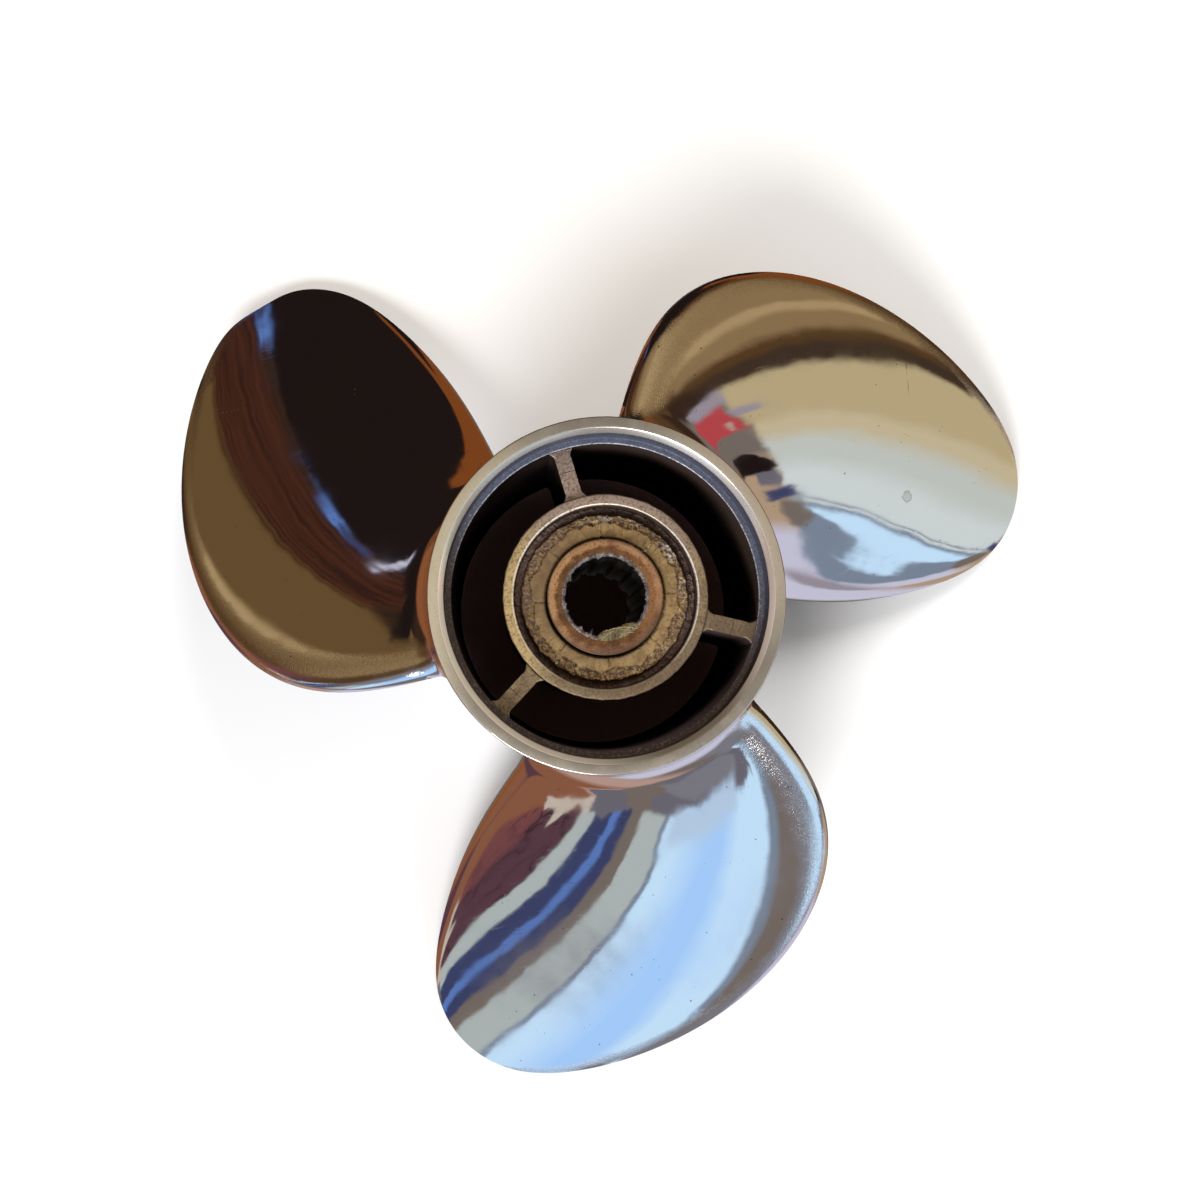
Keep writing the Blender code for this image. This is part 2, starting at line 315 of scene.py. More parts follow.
# %% [markdown]
# ## Blades
#
# A blade is a thin skin on a helix. It could be lofted from sections, but then all the
# points of the tip crowd into one, which a mirror finish shows at once. Here a grid is
# first bent into a half disc, whose round side becomes the blade's edge and whose straight
# side becomes the root. That keeps the faces even right up to the tip. The half disc is
# extruded for the aft face, both faces are laid on the helix, and the edge is bevelled.
# One tip has struck a stone, so that copy's points slide in along the blade's own slope.

# %% Give the plan of a blade
TIP_RADIUS = 0.1667
PITCH = 0.339
HALF_WIDTH = 39.4, 5.5, -26.9
MIDDLE = 22.6, 6.3, -47.3, 28.4
BLADE_HEIGHT = 0.0413
RAKE = 0.210
RAKE_CURVE = 0.85
ROOT_THICKNESS = 0.0085
TIP_THICKNESS = 0.0030
EDGE_THICKNESS = 0.0018
EDGE_RAMP = 0.10
ROOT_FILLET = 0.0080
END_FILLET = 0.0022
ROOT_SINK = 0.0002
SPAN = TIP_RADIUS - HUB_RADIUS


def fillet(distance, radius):
    """How far a fillet stands out from a wall, at a distance from the other wall."""
    inside = max(0.0, radius - distance)
    return radius - sqrt(radius**2 - inside**2)


def blade_point(across, share, side):
    """A point of the blade. across is -1 to 1 on the half disc, and side 1 is forward.

    HALF_WIDTH and MIDDLE are in degrees about the shaft, in powers of the share.
    """
    radius = HUB_RADIUS - ROOT_SINK + share * (SPAN + ROOT_SINK)
    out = max(0.0, radius - HUB_RADIUS)
    slope = atan(PITCH / tau / radius)
    width = radians(HALF_WIDTH[0] + HALF_WIDTH[1] * share + HALF_WIDTH[2] * share**2)
    middle = radians(
        MIDDLE[0] + MIDDLE[1] * (1 - share) ** 4 + MIDDLE[2] * share**4 + MIDDLE[3] * share**6
    )

    inside = max(0.0, 1 - share**4 - across**2)
    bulge = inside / max(1 - share**4, 1e-6)
    inside *= (width / radians(HALF_WIDTH[0])) ** 2
    end = fillet(out, END_FILLET)
    root = end + (fillet(out, ROOT_FILLET) - end) * bulge**0.4
    thickness = ROOT_THICKNESS + (TIP_THICKNESS - ROOT_THICKNESS) * share
    crown = (thickness - EDGE_THICKNESS) * (1 + EDGE_RAMP)
    off = -EDGE_THICKNESS / 2 - root
    if side > 0:
        off = EDGE_THICKNESS / 2 + root + crown * inside / (inside + EDGE_RAMP)
    along = width * across * radius / cos(slope) + end * across

    angle = middle + (along * cos(slope) - off * sin(slope)) / radius
    height = BLADE_HEIGHT + PITCH / tau * middle - RAKE * out - RAKE_CURVE * out**2
    height += along * sin(slope) + off * cos(slope)
    return Vector((radius * cos(angle), radius * sin(angle), height))


# %% Build one blade
CHORD_FACES = 96
FILLET_ROWS = 14
SPAN_ROWS = 84
EDGE_ROUND = 0.00075


def row_share(row):
    """Distance of a row from the hub, 0 to 1; the rows are closer in the fillet."""
    start = ROOT_FILLET / SPAN
    if row <= FILLET_ROWS:
        return start * (1 - cos(pi / 2 * row / FILLET_ROWS))
    return start + (1 - start) * sin(pi / 2 * (row - FILLET_ROWS) / SPAN_ROWS)


blade = bmesh.new()
rows = FILLET_ROWS + SPAN_ROWS
bmesh.ops.create_grid(blade, x_segments=CHORD_FACES, y_segments=rows, size=1)
bmesh.ops.extrude_face_region(blade, geom=blade.faces[:], use_keep_orig=True)
blade.verts.ensure_lookup_table()
half_count = len(blade.verts) // 2
from_front = blade.verts.layers.float.new("from_leading_edge")
rim = []
for index, vert in enumerate(blade.verts):
    x = sin(pi / 2 * vert.co.x)
    row = round((vert.co.y + 1) / 2 * rows)
    depth = row_share(row)
    share = depth * (1 - x * x / 2) ** 0.25
    across = x * sqrt(1 - depth**4 / 2)
    if row > 0 and (abs(vert.co.x) > 0.999 or row == rows):
        rim.append(vert)
    vert.co = blade_point(across, share, 1 if index < half_count else -1)
    edge = blade_point(sqrt(max(0, 1 - share**4)), share, 1)
    vert[from_front] = (vert.co - edge).length if index < half_count else 1.0
rim = set(rim)
rim_edges = [
    e for e in blade.edges
    if e.verts[0] in rim and e.verts[1] in rim
    and (e.verts[0].index < half_count) == (e.verts[1].index < half_count)
    and e.calc_face_angle(0) > 0.5
]
print("rim edges", len(rim_edges))
bmesh.ops.bevel(
    blade, geom=rim_edges, offset=EDGE_ROUND, affect="EDGES",
    segments=3, profile=0.5, material=-1, clamp_overlap=True,
)

# %% Dent one tip, and turn the blade to three places
BLADE_COUNT = 3
DENTED_BLADE = 1
DENT_ANGLE = 120.3
DENT_HALF = 3.8
DENT_DEPTH = 0.0020
DENT_REACH = 0.138, 0.168
TIP_SLOPE = RAKE + 2 * RAKE_CURVE * SPAN


def dented(co):
    """Where a point of the dented blade goes."""
    radius, angle = polar(co)
    near = exp(-(((degrees(angle) - DENT_ANGLE) / DENT_HALF) ** 2))
    near *= smooth_step(*DENT_REACH, radius)
    slide = Vector((-co.x / radius, -co.y / radius, TIP_SLOPE))
    return co + slide * DENT_DEPTH * near


blades = []
for number in range(BLADE_COUNT):
    turned_blade = blade.copy()
    turn = Matrix.Rotation(tau * number / BLADE_COUNT, 4, "Z")
    bmesh.ops.transform(turned_blade, matrix=turn, verts=turned_blade.verts)
    if number == DENTED_BLADE:
        for vert in turned_blade.verts:
            vert.co = dented(vert.co)
    name = f"blade_{number + 1}"
    blades.append(add_piece(f"{name}_polished", turned_blade, "polished_steel", name, smooth=60))
blade.free()

# %% [markdown]
# ## Bushing
#
# The rubber is pressed into the tube. Its front shows three zones: a smooth raised ring
# next to the sleeve with eight shallow grooves, a crumbling zone round it, and a dark gap
# at the tube's wall. All of that is height, so a finely divided lathe piece is pushed up
# and down by a function of radius and angle.

# %% Turn the bushing and wear its front
BUSHING_BORE = SLEEVE_OUTER + 0.0003
BUSHING_OUTER = TUBE_BORE - 0.0002
BUSHING_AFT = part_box("rubber_bushing")[0].z
RING_EDGE = 0.0226
GROOVES = 8
GROOVE_START = radians(-12.7)
CRUMB_DEPTH = 0.0016
GROOVE_DEPTH = 0.0006
GROOVE_HALF = 0.00036
GAP_START = 0.0254
GAP_DEPTH = 0.0022
BUSHING_RINGS = 44
FINE_STEPS = 720


def bushing_height(radius, angle):
    """How far the front stands below its highest ring, as a negative height."""
    around = (cos(angle), sin(angle))
    edge = RING_EDGE + 0.0012 * grain(*around, 3, size=0.30) + 0.0009 * grain(*around, 5, size=0.09)
    edge += 0.0004 * grain(*around, 7, size=0.025)
    ring = 1 - smooth_step(edge - 0.0002, edge + 0.0003, radius)
    spacing = tau / GROOVES
    turn = ((angle - GROOVE_START) / spacing + 0.5) % 1 - 0.5
    groove = exp(-((turn * spacing * radius / GROOVE_HALF) ** 2))
    inner_gap = exp(-(((radius - BUSHING_BORE) / 0.0004) ** 2))
    smooth = -GROOVE_DEPTH * groove - 0.0012 * inner_gap
    place = (radius * around[0], radius * around[1])
    lumps = 0.5 + 0.5 * grain(*place, 1, size=0.0016) + 0.4 * grain(*place, 2, size=0.0006)
    rough = -CRUMB_DEPTH * (1 - 0.75 * lumps)
    gap_start = GAP_START + 0.0005 * grain(*around, 9, size=0.06)
    rough -= GAP_DEPTH * smooth_step(gap_start, gap_start + 0.0007, radius)
    return ring * smooth + (1 - ring) * rough


bushing = bmesh.new()
profile = [(BUSHING_OUTER, BUSHING_AFT + 0.001), (BUSHING_OUTER - 0.001, BUSHING_AFT)]
profile += [(BUSHING_BORE + 0.001, BUSHING_AFT), (BUSHING_BORE, BUSHING_AFT + 0.001)]
profile += [
    (BUSHING_BORE + (BUSHING_OUTER - BUSHING_BORE) * i / BUSHING_RINGS, BUSHING_FRONT)
    for i in range(BUSHING_RINGS + 1)
]
draw_profile(bushing, profile)
spin_round(bushing, FINE_STEPS)
for vert in bushing.verts:
    if vert.co.z > BUSHING_FRONT - 0.0001:
        vert.co.z += bushing_height(*polar(vert.co))
rubber_bushing = add_piece("rubber_bushing_worn", bushing, "bushing_rubber", "rubber_bushing")

# %% [markdown]
# ## Sleeve
#
# The bronze sleeve carries the splines that the shaft turns. It is turned first, as in a
# workshop, and the splines are cut after that: each point of the bore behind the plain
# mouth moves in to the crest or out to the root, by its angle.

# %% Turn the sleeve and cut its splines
SPLINE_COUNT = 13
SPLINE_ROOT = 0.0130
SPLINE_CREST = 0.0119
MOUTH_RADIUS = 0.0132
MOUTH_DEPTH = 0.006
SLEEVE_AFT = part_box("splined_sleeve")[0].z
STEPS_PER_TOOTH = 20

sleeve = turned(
    [
        (SLEEVE_OUTER, SLEEVE_FRONT, 0.0003),
        (SLEEVE_OUTER, SLEEVE_AFT, 0.0006),
        (SPLINE_ROOT, SLEEVE_AFT, 0.0003),
        (SPLINE_ROOT, SLEEVE_FRONT - MOUTH_DEPTH - 0.0012, 0),
        (SPLINE_ROOT, SLEEVE_FRONT - MOUTH_DEPTH, 0),
        (MOUTH_RADIUS, SLEEVE_FRONT - MOUTH_DEPTH, 0),
        (MOUTH_RADIUS, SLEEVE_FRONT, 0.0003),
    ],
    steps=SPLINE_COUNT * STEPS_PER_TOOTH, longest=0.002,
)
for vert in sleeve.verts:
    radius, angle = polar(vert.co)
    if abs(radius - SPLINE_ROOT) < 0.00005 and vert.co.z < SLEEVE_FRONT - MOUTH_DEPTH - 0.0005:
        tooth = angle / tau * SPLINE_COUNT % 1
        crest = smooth_step(0.38, 0.60, tooth) - smooth_step(0.88, 1.0, tooth)
        crest += 1 - smooth_step(0.0, 0.10, tooth)
        wanted = SPLINE_ROOT + (SPLINE_CREST - SPLINE_ROOT) * min(1, max(0, crest))
        vert.co.x *= wanted / radius
        vert.co.y *= wanted / radius
splined_sleeve = add_piece("splined_sleeve_cut", sleeve, "bronze", "splined_sleeve")

# %% [markdown]
# ## Crust and grease
#
# Grease has dried to a crust round the sleeve's mouth. Small flakes of it hang over the
# bore, and on one side there is a whole lump with a few pale threads of rag on it. A ring
# is spun like the other pieces, and then its inner edge is pulled in by an uneven amount.

# %% Spin the crust and pull it in
CRUST_OUTER = MOUTH_RADIUS + 0.0003
CRUST_INNER = MOUTH_RADIUS - 0.0004
LUMP_ANGLE = radians(289) - CAMERA_ROLL
LUMP_HALF = radians(31)
LUMP_REACH = 0.0025
CRUST_THICKNESS = 0.0003
CRUST_RINGS = 12
# Each flake is (angle in the photo, half its width in degrees, how far it reaches in).
FLAKES = (
    (248, 3.0, 0.0021), (232, 6.0, 0.0008), (190, 3.0, 0.0006), (100, 5.0, 0.0007),
    (155, 4.0, 0.0006),
)


def crust_reach(angle):
    """How far the crust hangs over the bore at an angle."""
    around = (cos(angle), sin(angle))
    reach = 0.0003 + 0.0006 * max(0, grain(*around, 1, size=0.11))
    reach += 0.0004 * max(0, grain(*around, 2, size=0.04))
    off_lump = (angle - LUMP_ANGLE + pi) % tau - pi
    lump = sqrt(max(0, 1 - (off_lump / LUMP_HALF) ** 2))
    reach += lump * (LUMP_REACH + 0.0002 * grain(*around, 3, size=0.05))
    for place, half_width, length in FLAKES:
        off = abs((angle - radians(place) + CAMERA_ROLL + pi) % tau - pi)
        reach += length * max(0, 1 - off / radians(half_width))
    return reach


def crust_point(angle, share):
    """A point of the crust's top; share runs from its outer edge to its inner one."""
    reach = crust_reach(angle)
    radius = CRUST_OUTER - share * (CRUST_OUTER - CRUST_INNER + reach)
    around = (radius * cos(angle), radius * sin(angle))
    height = 0.00025 * sin(pi * share) + 0.00020 * grain(*around, 4, size=0.0006)
    height -= 0.0004 * share**2 + 0.12 * reach * share
    return Vector((*around, SLEEVE_FRONT + height))


crust = bmesh.new()
row = [
    (CRUST_OUTER + (CRUST_INNER - CRUST_OUTER) * i / CRUST_RINGS, 0)
    for i in range(CRUST_RINGS + 1)
]
draw_profile(crust, row, closed=False)
spin_round(crust, FINE_STEPS)
for vert in crust.verts:
    radius, angle = polar(vert.co)
    vert.co = crust_point(angle, (CRUST_OUTER - radius) / (CRUST_OUTER - CRUST_INNER))
bmesh.ops.recalc_face_normals(crust, faces=crust.faces)
if sum(face.normal.z for face in crust.faces) < 0:
    bmesh.ops.reverse_faces(crust, faces=crust.faces)
bmesh.ops.solidify(crust, geom=crust.faces[:], thickness=CRUST_THICKNESS)
mouth_crust = add_piece("mouth_crust", crust, "bushing_rubber")

# %% Lay threads over the lump
THREAD_HALF = 0.00007
THREAD_BENDS = 14
# Each thread is (start angle, its share across the crust, end angle, its share).
THREADS = (
    (264, 0.05, 285, 0.75), (270, 0.9, 301, 0.55), (276, 0.05, 279, 0.80),
    (292, 0.3, 316, -0.6), (283, 0.95, 312, 0.30), (300, 0.85, 318, -0.4),
)
threads = []
for number, (start, start_share, end, end_share) in enumerate(THREADS):
    thread = bmesh.new()
    bmesh.ops.create_circle(thread, segments=6, radius=THREAD_HALF)
    ring, path = thread.edges[:], []
    for i in range(THREAD_BENDS + 1):
        share = i / THREAD_BENDS
        angle = radians(start + (end - start) * share) - CAMERA_ROLL
        across = start_share + (end_share - start_share) * share + 0.25 * sin(pi * share)
        path.append(crust_point(angle, across) + Vector((0, 0, THREAD_HALF)))
    heading = (path[1] - path[0]).to_track_quat("Z", "Y").to_matrix()
    bmesh.ops.rotate(thread, verts=thread.verts, cent=(0, 0, 0), matrix=heading)
    bmesh.ops.translate(thread, verts=thread.verts, vec=path[0])
    for here, there in zip(path, path[1:]):
        made = bmesh.ops.extrude_edge_only(thread, edges=ring)["geom"]
        ring = [e for e in made if isinstance(e, bmesh.types.BMEdge)]
        tip = [v for v in made if isinstance(v, bmesh.types.BMVert)]
        bmesh.ops.translate(thread, verts=tip, vec=there - here)
    bmesh.ops.holes_fill(thread, edges=thread.edges[:], sides=6)
    threads.append(add_piece(f"thread_{number + 1}", thread, "bushing_rubber"))

# %% [markdown]
# ## A short way to write nodes
#
# Both the room and the finishes are node trees. Writing each node and link by hand takes
# five lines, so a small class adds a node and links its inputs in one call. It also holds
# what several finishes share: noise, flecks, distances, and places given round the shaft.

# %% Nodes in one line each
class Graph:
    """Adds nodes to a tree; a socket as an input is linked, and a value is set."""

    def __init__(self, tree):
        self.tree = tree

    def __call__(self, kind, *inputs, **settings):
        node = self.tree.nodes.new(kind)
        for key, value in settings.items():
            setattr(node, key, value)
        for socket, value in zip(node.inputs, inputs):
            self.put(socket, value)
        return node

    def put(self, socket, value):
        if hasattr(value, "is_output"):
            self.tree.links.new(value, socket)
        elif value is not None:
            socket.default_value = value

    def math(self, operation, *inputs, clamp=False):
        node = self("ShaderNodeMath", *inputs, operation=operation)
        node.use_clamp = clamp
        return node.outputs[0]

    def step(self, value, low, high, bottom=0.0, top=1.0):
        """Runs smoothly from bottom to top as the value goes from low to high."""
        node = self("ShaderNodeMapRange", value, low, high, bottom, top)
        node.interpolation_type = "SMOOTHSTEP"
        return node.outputs[0]

    def within(self, value, low, high, soft):
        """1 where the value lies between low and high, with soft ends."""
        rise = self.step(value, low - soft, low + soft)
        return self.math("MULTIPLY", rise, self.step(value, high - soft, high + soft, 1.0, 0.0))

    def ramp(self, factor, stops):
        """Stops are (place, colour), with the colour one number or three."""
        node = self("ShaderNodeValToRGB", factor)
        band = node.color_ramp
        for place, _ in stops[1:-1]:
            band.elements.new(place)
        for element, (place, colour) in zip(band.elements, stops):
            element.position = place
            shade = colour if isinstance(colour, tuple) else (colour,) * 3
            element.color = (*shade, 1)
        return node.outputs["Color"]

    def mix(self, factor, low, high):
        node = self("ShaderNodeMix", data_type="RGBA")
        self.put(node.inputs[0], factor)
        for socket, value in ((node.inputs[6], low), (node.inputs[7], high)):
            self.put(socket, (*value, 1) if isinstance(value, tuple) else value)
        return node.outputs[2]

    def tint(self, tone, mask, share, colour):
        """A tone with a colour laid over it, at a share of the mask."""
        return self.mix(self.math("MULTIPLY", mask, share), tone, colour)

    def fleck(self, tone, pattern, low, high, share, colour):
        """A tone with a colour where the pattern passes from low to high."""
        return self.mix(self.step(pattern, low, high, 0.0, share), tone, colour)

    def noise(self, vector, scale, detail=3.0, roughness=0.5):
        node = self("ShaderNodeTexNoise")
        self.put(node.inputs["Vector"], vector)
        node.inputs["Scale"].default_value = scale
        node.inputs["Detail"].default_value = detail
        node.inputs["Roughness"].default_value = roughness
        return node.outputs["Fac"]

    def place(self):
        return self("ShaderNodeTexCoord").outputs["Object"]

    def stretch(self, vector, *scale):
        node = self("ShaderNodeMapping", vector)
        node.inputs["Scale"].default_value = scale
        return node.outputs[0]

    def polar(self):
        """Radius from the shaft and turn about it (0 to 1) as sockets."""
        x, y, _ = self("ShaderNodeSeparateXYZ", self.place()).outputs
        squares = [self.math("MULTIPLY", c, c) for c in (x, y)]
        radius = self.math("SQRT", self.math("ADD", *squares))
        turn = self.math("DIVIDE", self.math("ARCTAN2", y, x), tau)
        return radius, self.math("FRACT", self.math("ADD", turn, 1.0))

    def from_point(self, place, point):
        return self("ShaderNodeVectorMath", place, point, operation="DISTANCE").outputs["Value"]

    def from_line(self, place, start, end):
        """Distance of a place from the straight line between two points."""
        along = Vector(end) - Vector(start)
        offset = self("ShaderNodeVectorMath", place, start, operation="SUBTRACT").outputs[0]
        dot = self("ShaderNodeVectorMath", offset, tuple(along), operation="DOT_PRODUCT")
        share = self.math("DIVIDE", dot.outputs["Value"], along.length_squared, clamp=True)
        foot = self("ShaderNodeVectorMath", tuple(along), operation="SCALE")
        self.put(foot.inputs["Scale"], share)
        return self.from_point(offset, foot.outputs[0])

    def facing(self, degrees_round, low=-1.0, high=1.0):
        """0 to 1 by how far a place lies towards a side, given as an angle in the photo."""
        x, y, _ = self("ShaderNodeSeparateXYZ", self.place()).outputs
        flat = self("ShaderNodeCombineXYZ", x, y, 0.0).outputs[0]
        side = self("ShaderNodeVectorMath", flat, operation="NORMALIZE").outputs[0]
        angle = radians(degrees_round) - CAMERA_ROLL
        towards = (cos(angle), sin(angle), 0)
        dot = self("ShaderNodeVectorMath", side, towards, operation="DOT_PRODUCT")
        return self.step(dot.outputs["Value"], low, high)

    def bump(self, height, distance, normal=None):
        node = self("ShaderNodeBump")
        node.inputs["Distance"].default_value = distance
        self.put(node.inputs["Height"], height)
        self.put(node.inputs["Normal"], normal)
        return node.outputs[0]


# %% [markdown]
# ## Floor and lamps
#
# A pale floor carries the propeller, and two big soft lamps light its matt parts. They
# stand well off the shaft's axis, so that they don't shine down through the exhaust
# passages. The floor is left out of reflections, because the room below the horizon is
# part of the room's own colours.

# %% Make the floor
FLOOR_RADIUS = 9

floor_shape = bmesh.new()
bmesh.ops.create_circle(floor_shape, cap_ends=True, segments=96, radius=FLOOR_RADIUS)
floor_mesh = bpy.data.meshes.new("floor")
floor_shape.to_mesh(floor_mesh)
floor_shape.free()
floor = bpy.data.objects.new("floor", floor_mesh)
floor.visible_glossy = False
bpy.context.scene.collection.objects.link(floor)


# %% Hang the lamps
def hang_lamp(name, place, size, energy):
    data = bpy.data.lights.new(name, "AREA")
    data.shape = "DISK"
    data.size = size
    data.energy = energy
    lamp = bpy.data.objects.new(name, data)
    lamp.location = place
    lamp.rotation_euler = Vector(place).to_track_quat("Z", "Y").to_euler()
    lamp.visible_camera = False
    bpy.context.scene.collection.objects.link(lamp)
    return lamp


hang_lamp("main_softbox", (-0.62, -0.83, 1.05), 0.80, 23)
fill_lamp = hang_lamp("fill_softbox", (0.60, 0.80, 1.05), 0.90, 15)
fill_lamp.visible_glossy = False

# %% [markdown]
# ## Room
#
# Mirror steel has no colour of its own: it shows what stands round it. The blades lean so
# that a camera above sees the room near eye level in them, from about 10 below to 40
# degrees above the horizon. So the room is painted in four belts: the ground, what stands
# on a bench, what is at eye level, and what is higher. Each belt is a ramp round the
# compass, with its own softness at every change of colour. A little noise keeps the edges
# from being ruled lines.

# %% Name the room's colours
SOOT = (0.018, 0.011, 0.010)
DEEP_BROWN = (0.050, 0.026, 0.016)
RED_BROWN = (0.095, 0.032, 0.018)
WINE = (0.130, 0.060, 0.085)
PLUM = (0.240, 0.085, 0.090)
TERRACOTTA = (0.34, 0.140, 0.078)
ORANGE = (0.27, 0.078, 0.019)
RUST = (0.34, 0.120, 0.048)
PINK = (0.62, 0.42, 0.36)
DARK_GOLD = (0.120, 0.062, 0.024)
GOLD = (0.180, 0.105, 0.042)
UMBER = (0.068, 0.042, 0.027)
BRASS = (0.35, 0.235, 0.115)
LIGHT_GOLD = (0.55, 0.39, 0.20)
TAN = (0.67, 0.55, 0.32)
CREAM = (0.76, 0.66, 0.44)
SAGE = (0.74, 0.80, 0.77)
PEARL = (0.86, 0.96, 0.99)
GREY_SAGE = (0.58, 0.66, 0.68)
PALE_SKY = (0.78, 1.10, 1.45)
SKY = (0.53, 0.88, 1.45)
BLUE_GREY = (0.27, 0.34, 0.46)
COBALT = (0.14, 0.27, 0.70)
NAVY = (0.060, 0.075, 0.19)
GREY = (0.27, 0.27, 0.32)
SLATE = (0.20, 0.19, 0.24)
TAUPE = (0.24, 0.20, 0.18)
MAUVE = (0.42, 0.38, 0.46)
STONE = (0.74, 0.65, 0.58)
HAZE = (0.64, 0.86, 1.15)
LAVENDER = (0.78, 0.78, 1.00)
BEIGE = (0.60, 0.44, 0.30)
RED = (0.62, 0.085, 0.10)

# %% Find where a ray goes
world = bpy.data.worlds.new("room")
bpy.context.scene.world = world
world.use_nodes = True
world.cycles.sampling_method = "NONE"
room = Graph(world.node_tree)
room.tree.nodes.clear()

direction = room("ShaderNodeTexCoord").outputs["Generated"]
compass = room("ShaderNodeMapping", direction)
compass.inputs["Rotation"].default_value = (0, 0, CAMERA_ROLL)
x, y, z = room("ShaderNodeSeparateXYZ", compass.outputs[0]).outputs
heading = room.math("DIVIDE", room.math("ARCTAN2", y, x), tau / 360)
heading = room.math("MODULO", room.math("ADD", heading, 360.0), 360.0)
rise = room.math("MULTIPLY", room.math("ARCSINE", z), 360 / tau)
for scale, amount in ((9, 2.0), (40, 1.0)):
    sway = room.math("SUBTRACT", room.noise(compass.outputs[0], scale, 1), 0.5)
    heading = room.math("MULTIPLY_ADD", sway, amount, heading)
    lift = room.math("SUBTRACT", room.noise(compass.outputs[0], scale * 1.3, 1), 0.5)
    rise = room.math("MULTIPLY_ADD", lift, amount, rise)


# %% Paint the four belts
def belt(*bands):
    """Bands are (heading where it ends, colour, softness of that end), from 0 to 360.

    A ramp holds 32 stops at most, so a belt is four ramps of a quarter turn each.
    """
    stops, edge = [], 0
    for end, colour, soft in bands:
        stops += [(edge, Vector(colour)), (end - soft, Vector(colour))]
        edge = end

    def shade(at):
        for (start, first), (end, second) in zip(stops, stops[1:]):
            if start <= at <= end:
                return first.lerp(second, (at - start) / max(end - start, 0.001))
        return stops[-1][1]

    whole = None
    for low in (0, 90, 180, 270):
        inside = [stop for stop in stops if low < stop[0] < low + 90]
        inside = [(low, shade(low)), *inside, (low + 90, shade(low + 90))]
        factor = room.math("DIVIDE", room.math("SUBTRACT", heading, float(low)), 90.0)
        quarter = room.ramp(factor, [((at - low) / 90, tuple(c)) for at, c in inside])
        here = room.math("GREATER_THAN", heading, float(low))
        whole = room.mix(here, whole, quarter) if whole else quarter
    return whole


ground_belt = belt(
    (14, TAUPE, 6), (32, DEEP_BROWN, 8), (48, DARK_GOLD, 8), (62, ORANGE, 3), (142, SOOT, 10),
    (166, DEEP_BROWN, 6), (180, TERRACOTTA, 4), (195, WINE, 4), (226, TERRACOTTA, 10),
    (250, PINK, 10), (264, TAUPE, 6), (290, GREY, 8), (314, LAVENDER, 6), (346, BEIGE, 8),
    (360, TAUPE, 4),
)
bench_belt = belt(
    (9, TAUPE, 2), (17, DEEP_BROWN, 2), (30, DARK_GOLD, 5), (56, GOLD, 10), (62, DARK_GOLD, 3),
    (109, SOOT, 0.8), (120, RED_BROWN, 1), (131, DEEP_BROWN, 2), (152, GOLD, 6),
    (176, DARK_GOLD, 5), (206, TERRACOTTA, 4), (221, PINK, 4), (228, TAUPE, 3),
    (256, SLATE, 4), (292, GREY, 6), (314, MAUVE, 4), (329, LAVENDER, 5), (350, BEIGE, 4),
    (360, TAUPE, 2),
)
eye_belt = belt(
    (9.2, TAN, 1.5), (13.6, UMBER, 1.6), (17, DARK_GOLD, 2), (22.5, BRASS, 2),
    (26, LIGHT_GOLD, 1.5), (56, BRASS, 4), (66, DARK_GOLD, 4),
    (107.5, SOOT, 0.6), (109.2, DEEP_BROWN, 0.6), (121, RED_BROWN, 0.6), (122.5, DARK_GOLD, 0.8),
    (160, GOLD, 5), (180, DARK_GOLD, 4), (195, PLUM, 3),
    (204, WINE, 0.5), (208.3, GREY_SAGE, 0.5), (213, NAVY, 0.4), (215.4, COBALT, 0.8),
    (218.5, NAVY, 0.4), (222, TAUPE, 0.5), (228.6, GREY_SAGE, 0.4), (230, BLUE_GREY, 0.5),
    (241, PALE_SKY, 8), (250, SKY, 4), (260, PALE_SKY, 1.5), (264, BLUE_GREY, 2),
    (276, TAUPE, 3), (287, GREY, 3), (333.8, PALE_SKY, 1.2), (334.6, BLUE_GREY, 0.5),
    (335.4, PEARL, 0.4), (335.9, BLUE_GREY, 0.4), (347, PEARL, 5), (354, SAGE, 4),
    (358, CREAM, 2), (360, TAN, 1),
)
high_belt = belt(
    (80, LIGHT_GOLD, 16), (100, BRASS, 10), (140, GOLD, 10), (185, BRASS, 10),
    (220, DARK_GOLD, 15), (240, GREY, 10), (262, SKY, 8), (308, GREY, 8), (345, PALE_SKY, 12),
    (360, SAGE, 4),
)
belts = ground_belt
for low, high, above in ((-1.0, 2.0, bench_belt), (7.5, 9.5, eye_belt), (22.0, 28.0, high_belt)):
    belts = room.mix(room.step(rise, low, high), belts, above)


# %% [markdown]
# ## Things in the room
#
# A few things stand out against the belts. A panel is a range of headings and heights, and
# may lean. A thing with an uneven top has a skyline, a ramp whose value is not a colour but
# a height. Two of the colours also get a grain from noise, drawn out into streaks or cut
# to thin veins. Last come the plain colours right overhead and underfoot.

# %% Draw a panel and a skyline
SKYLINE_RANGE = 60.0


def panel(belts, headings, rises, colour, edge=0.5, lean=0.0):
    """One thing at the given headings and heights above the horizon, in degrees."""
    shifted = room.math("MULTIPLY_ADD", room.math("SUBTRACT", rise, rises[0]), -lean, heading)
    across = room.within(shifted, *headings, edge)
    up = room.within(rise, *rises, edge)
    return room.mix(room.math("MULTIPLY", across, up), belts, colour)


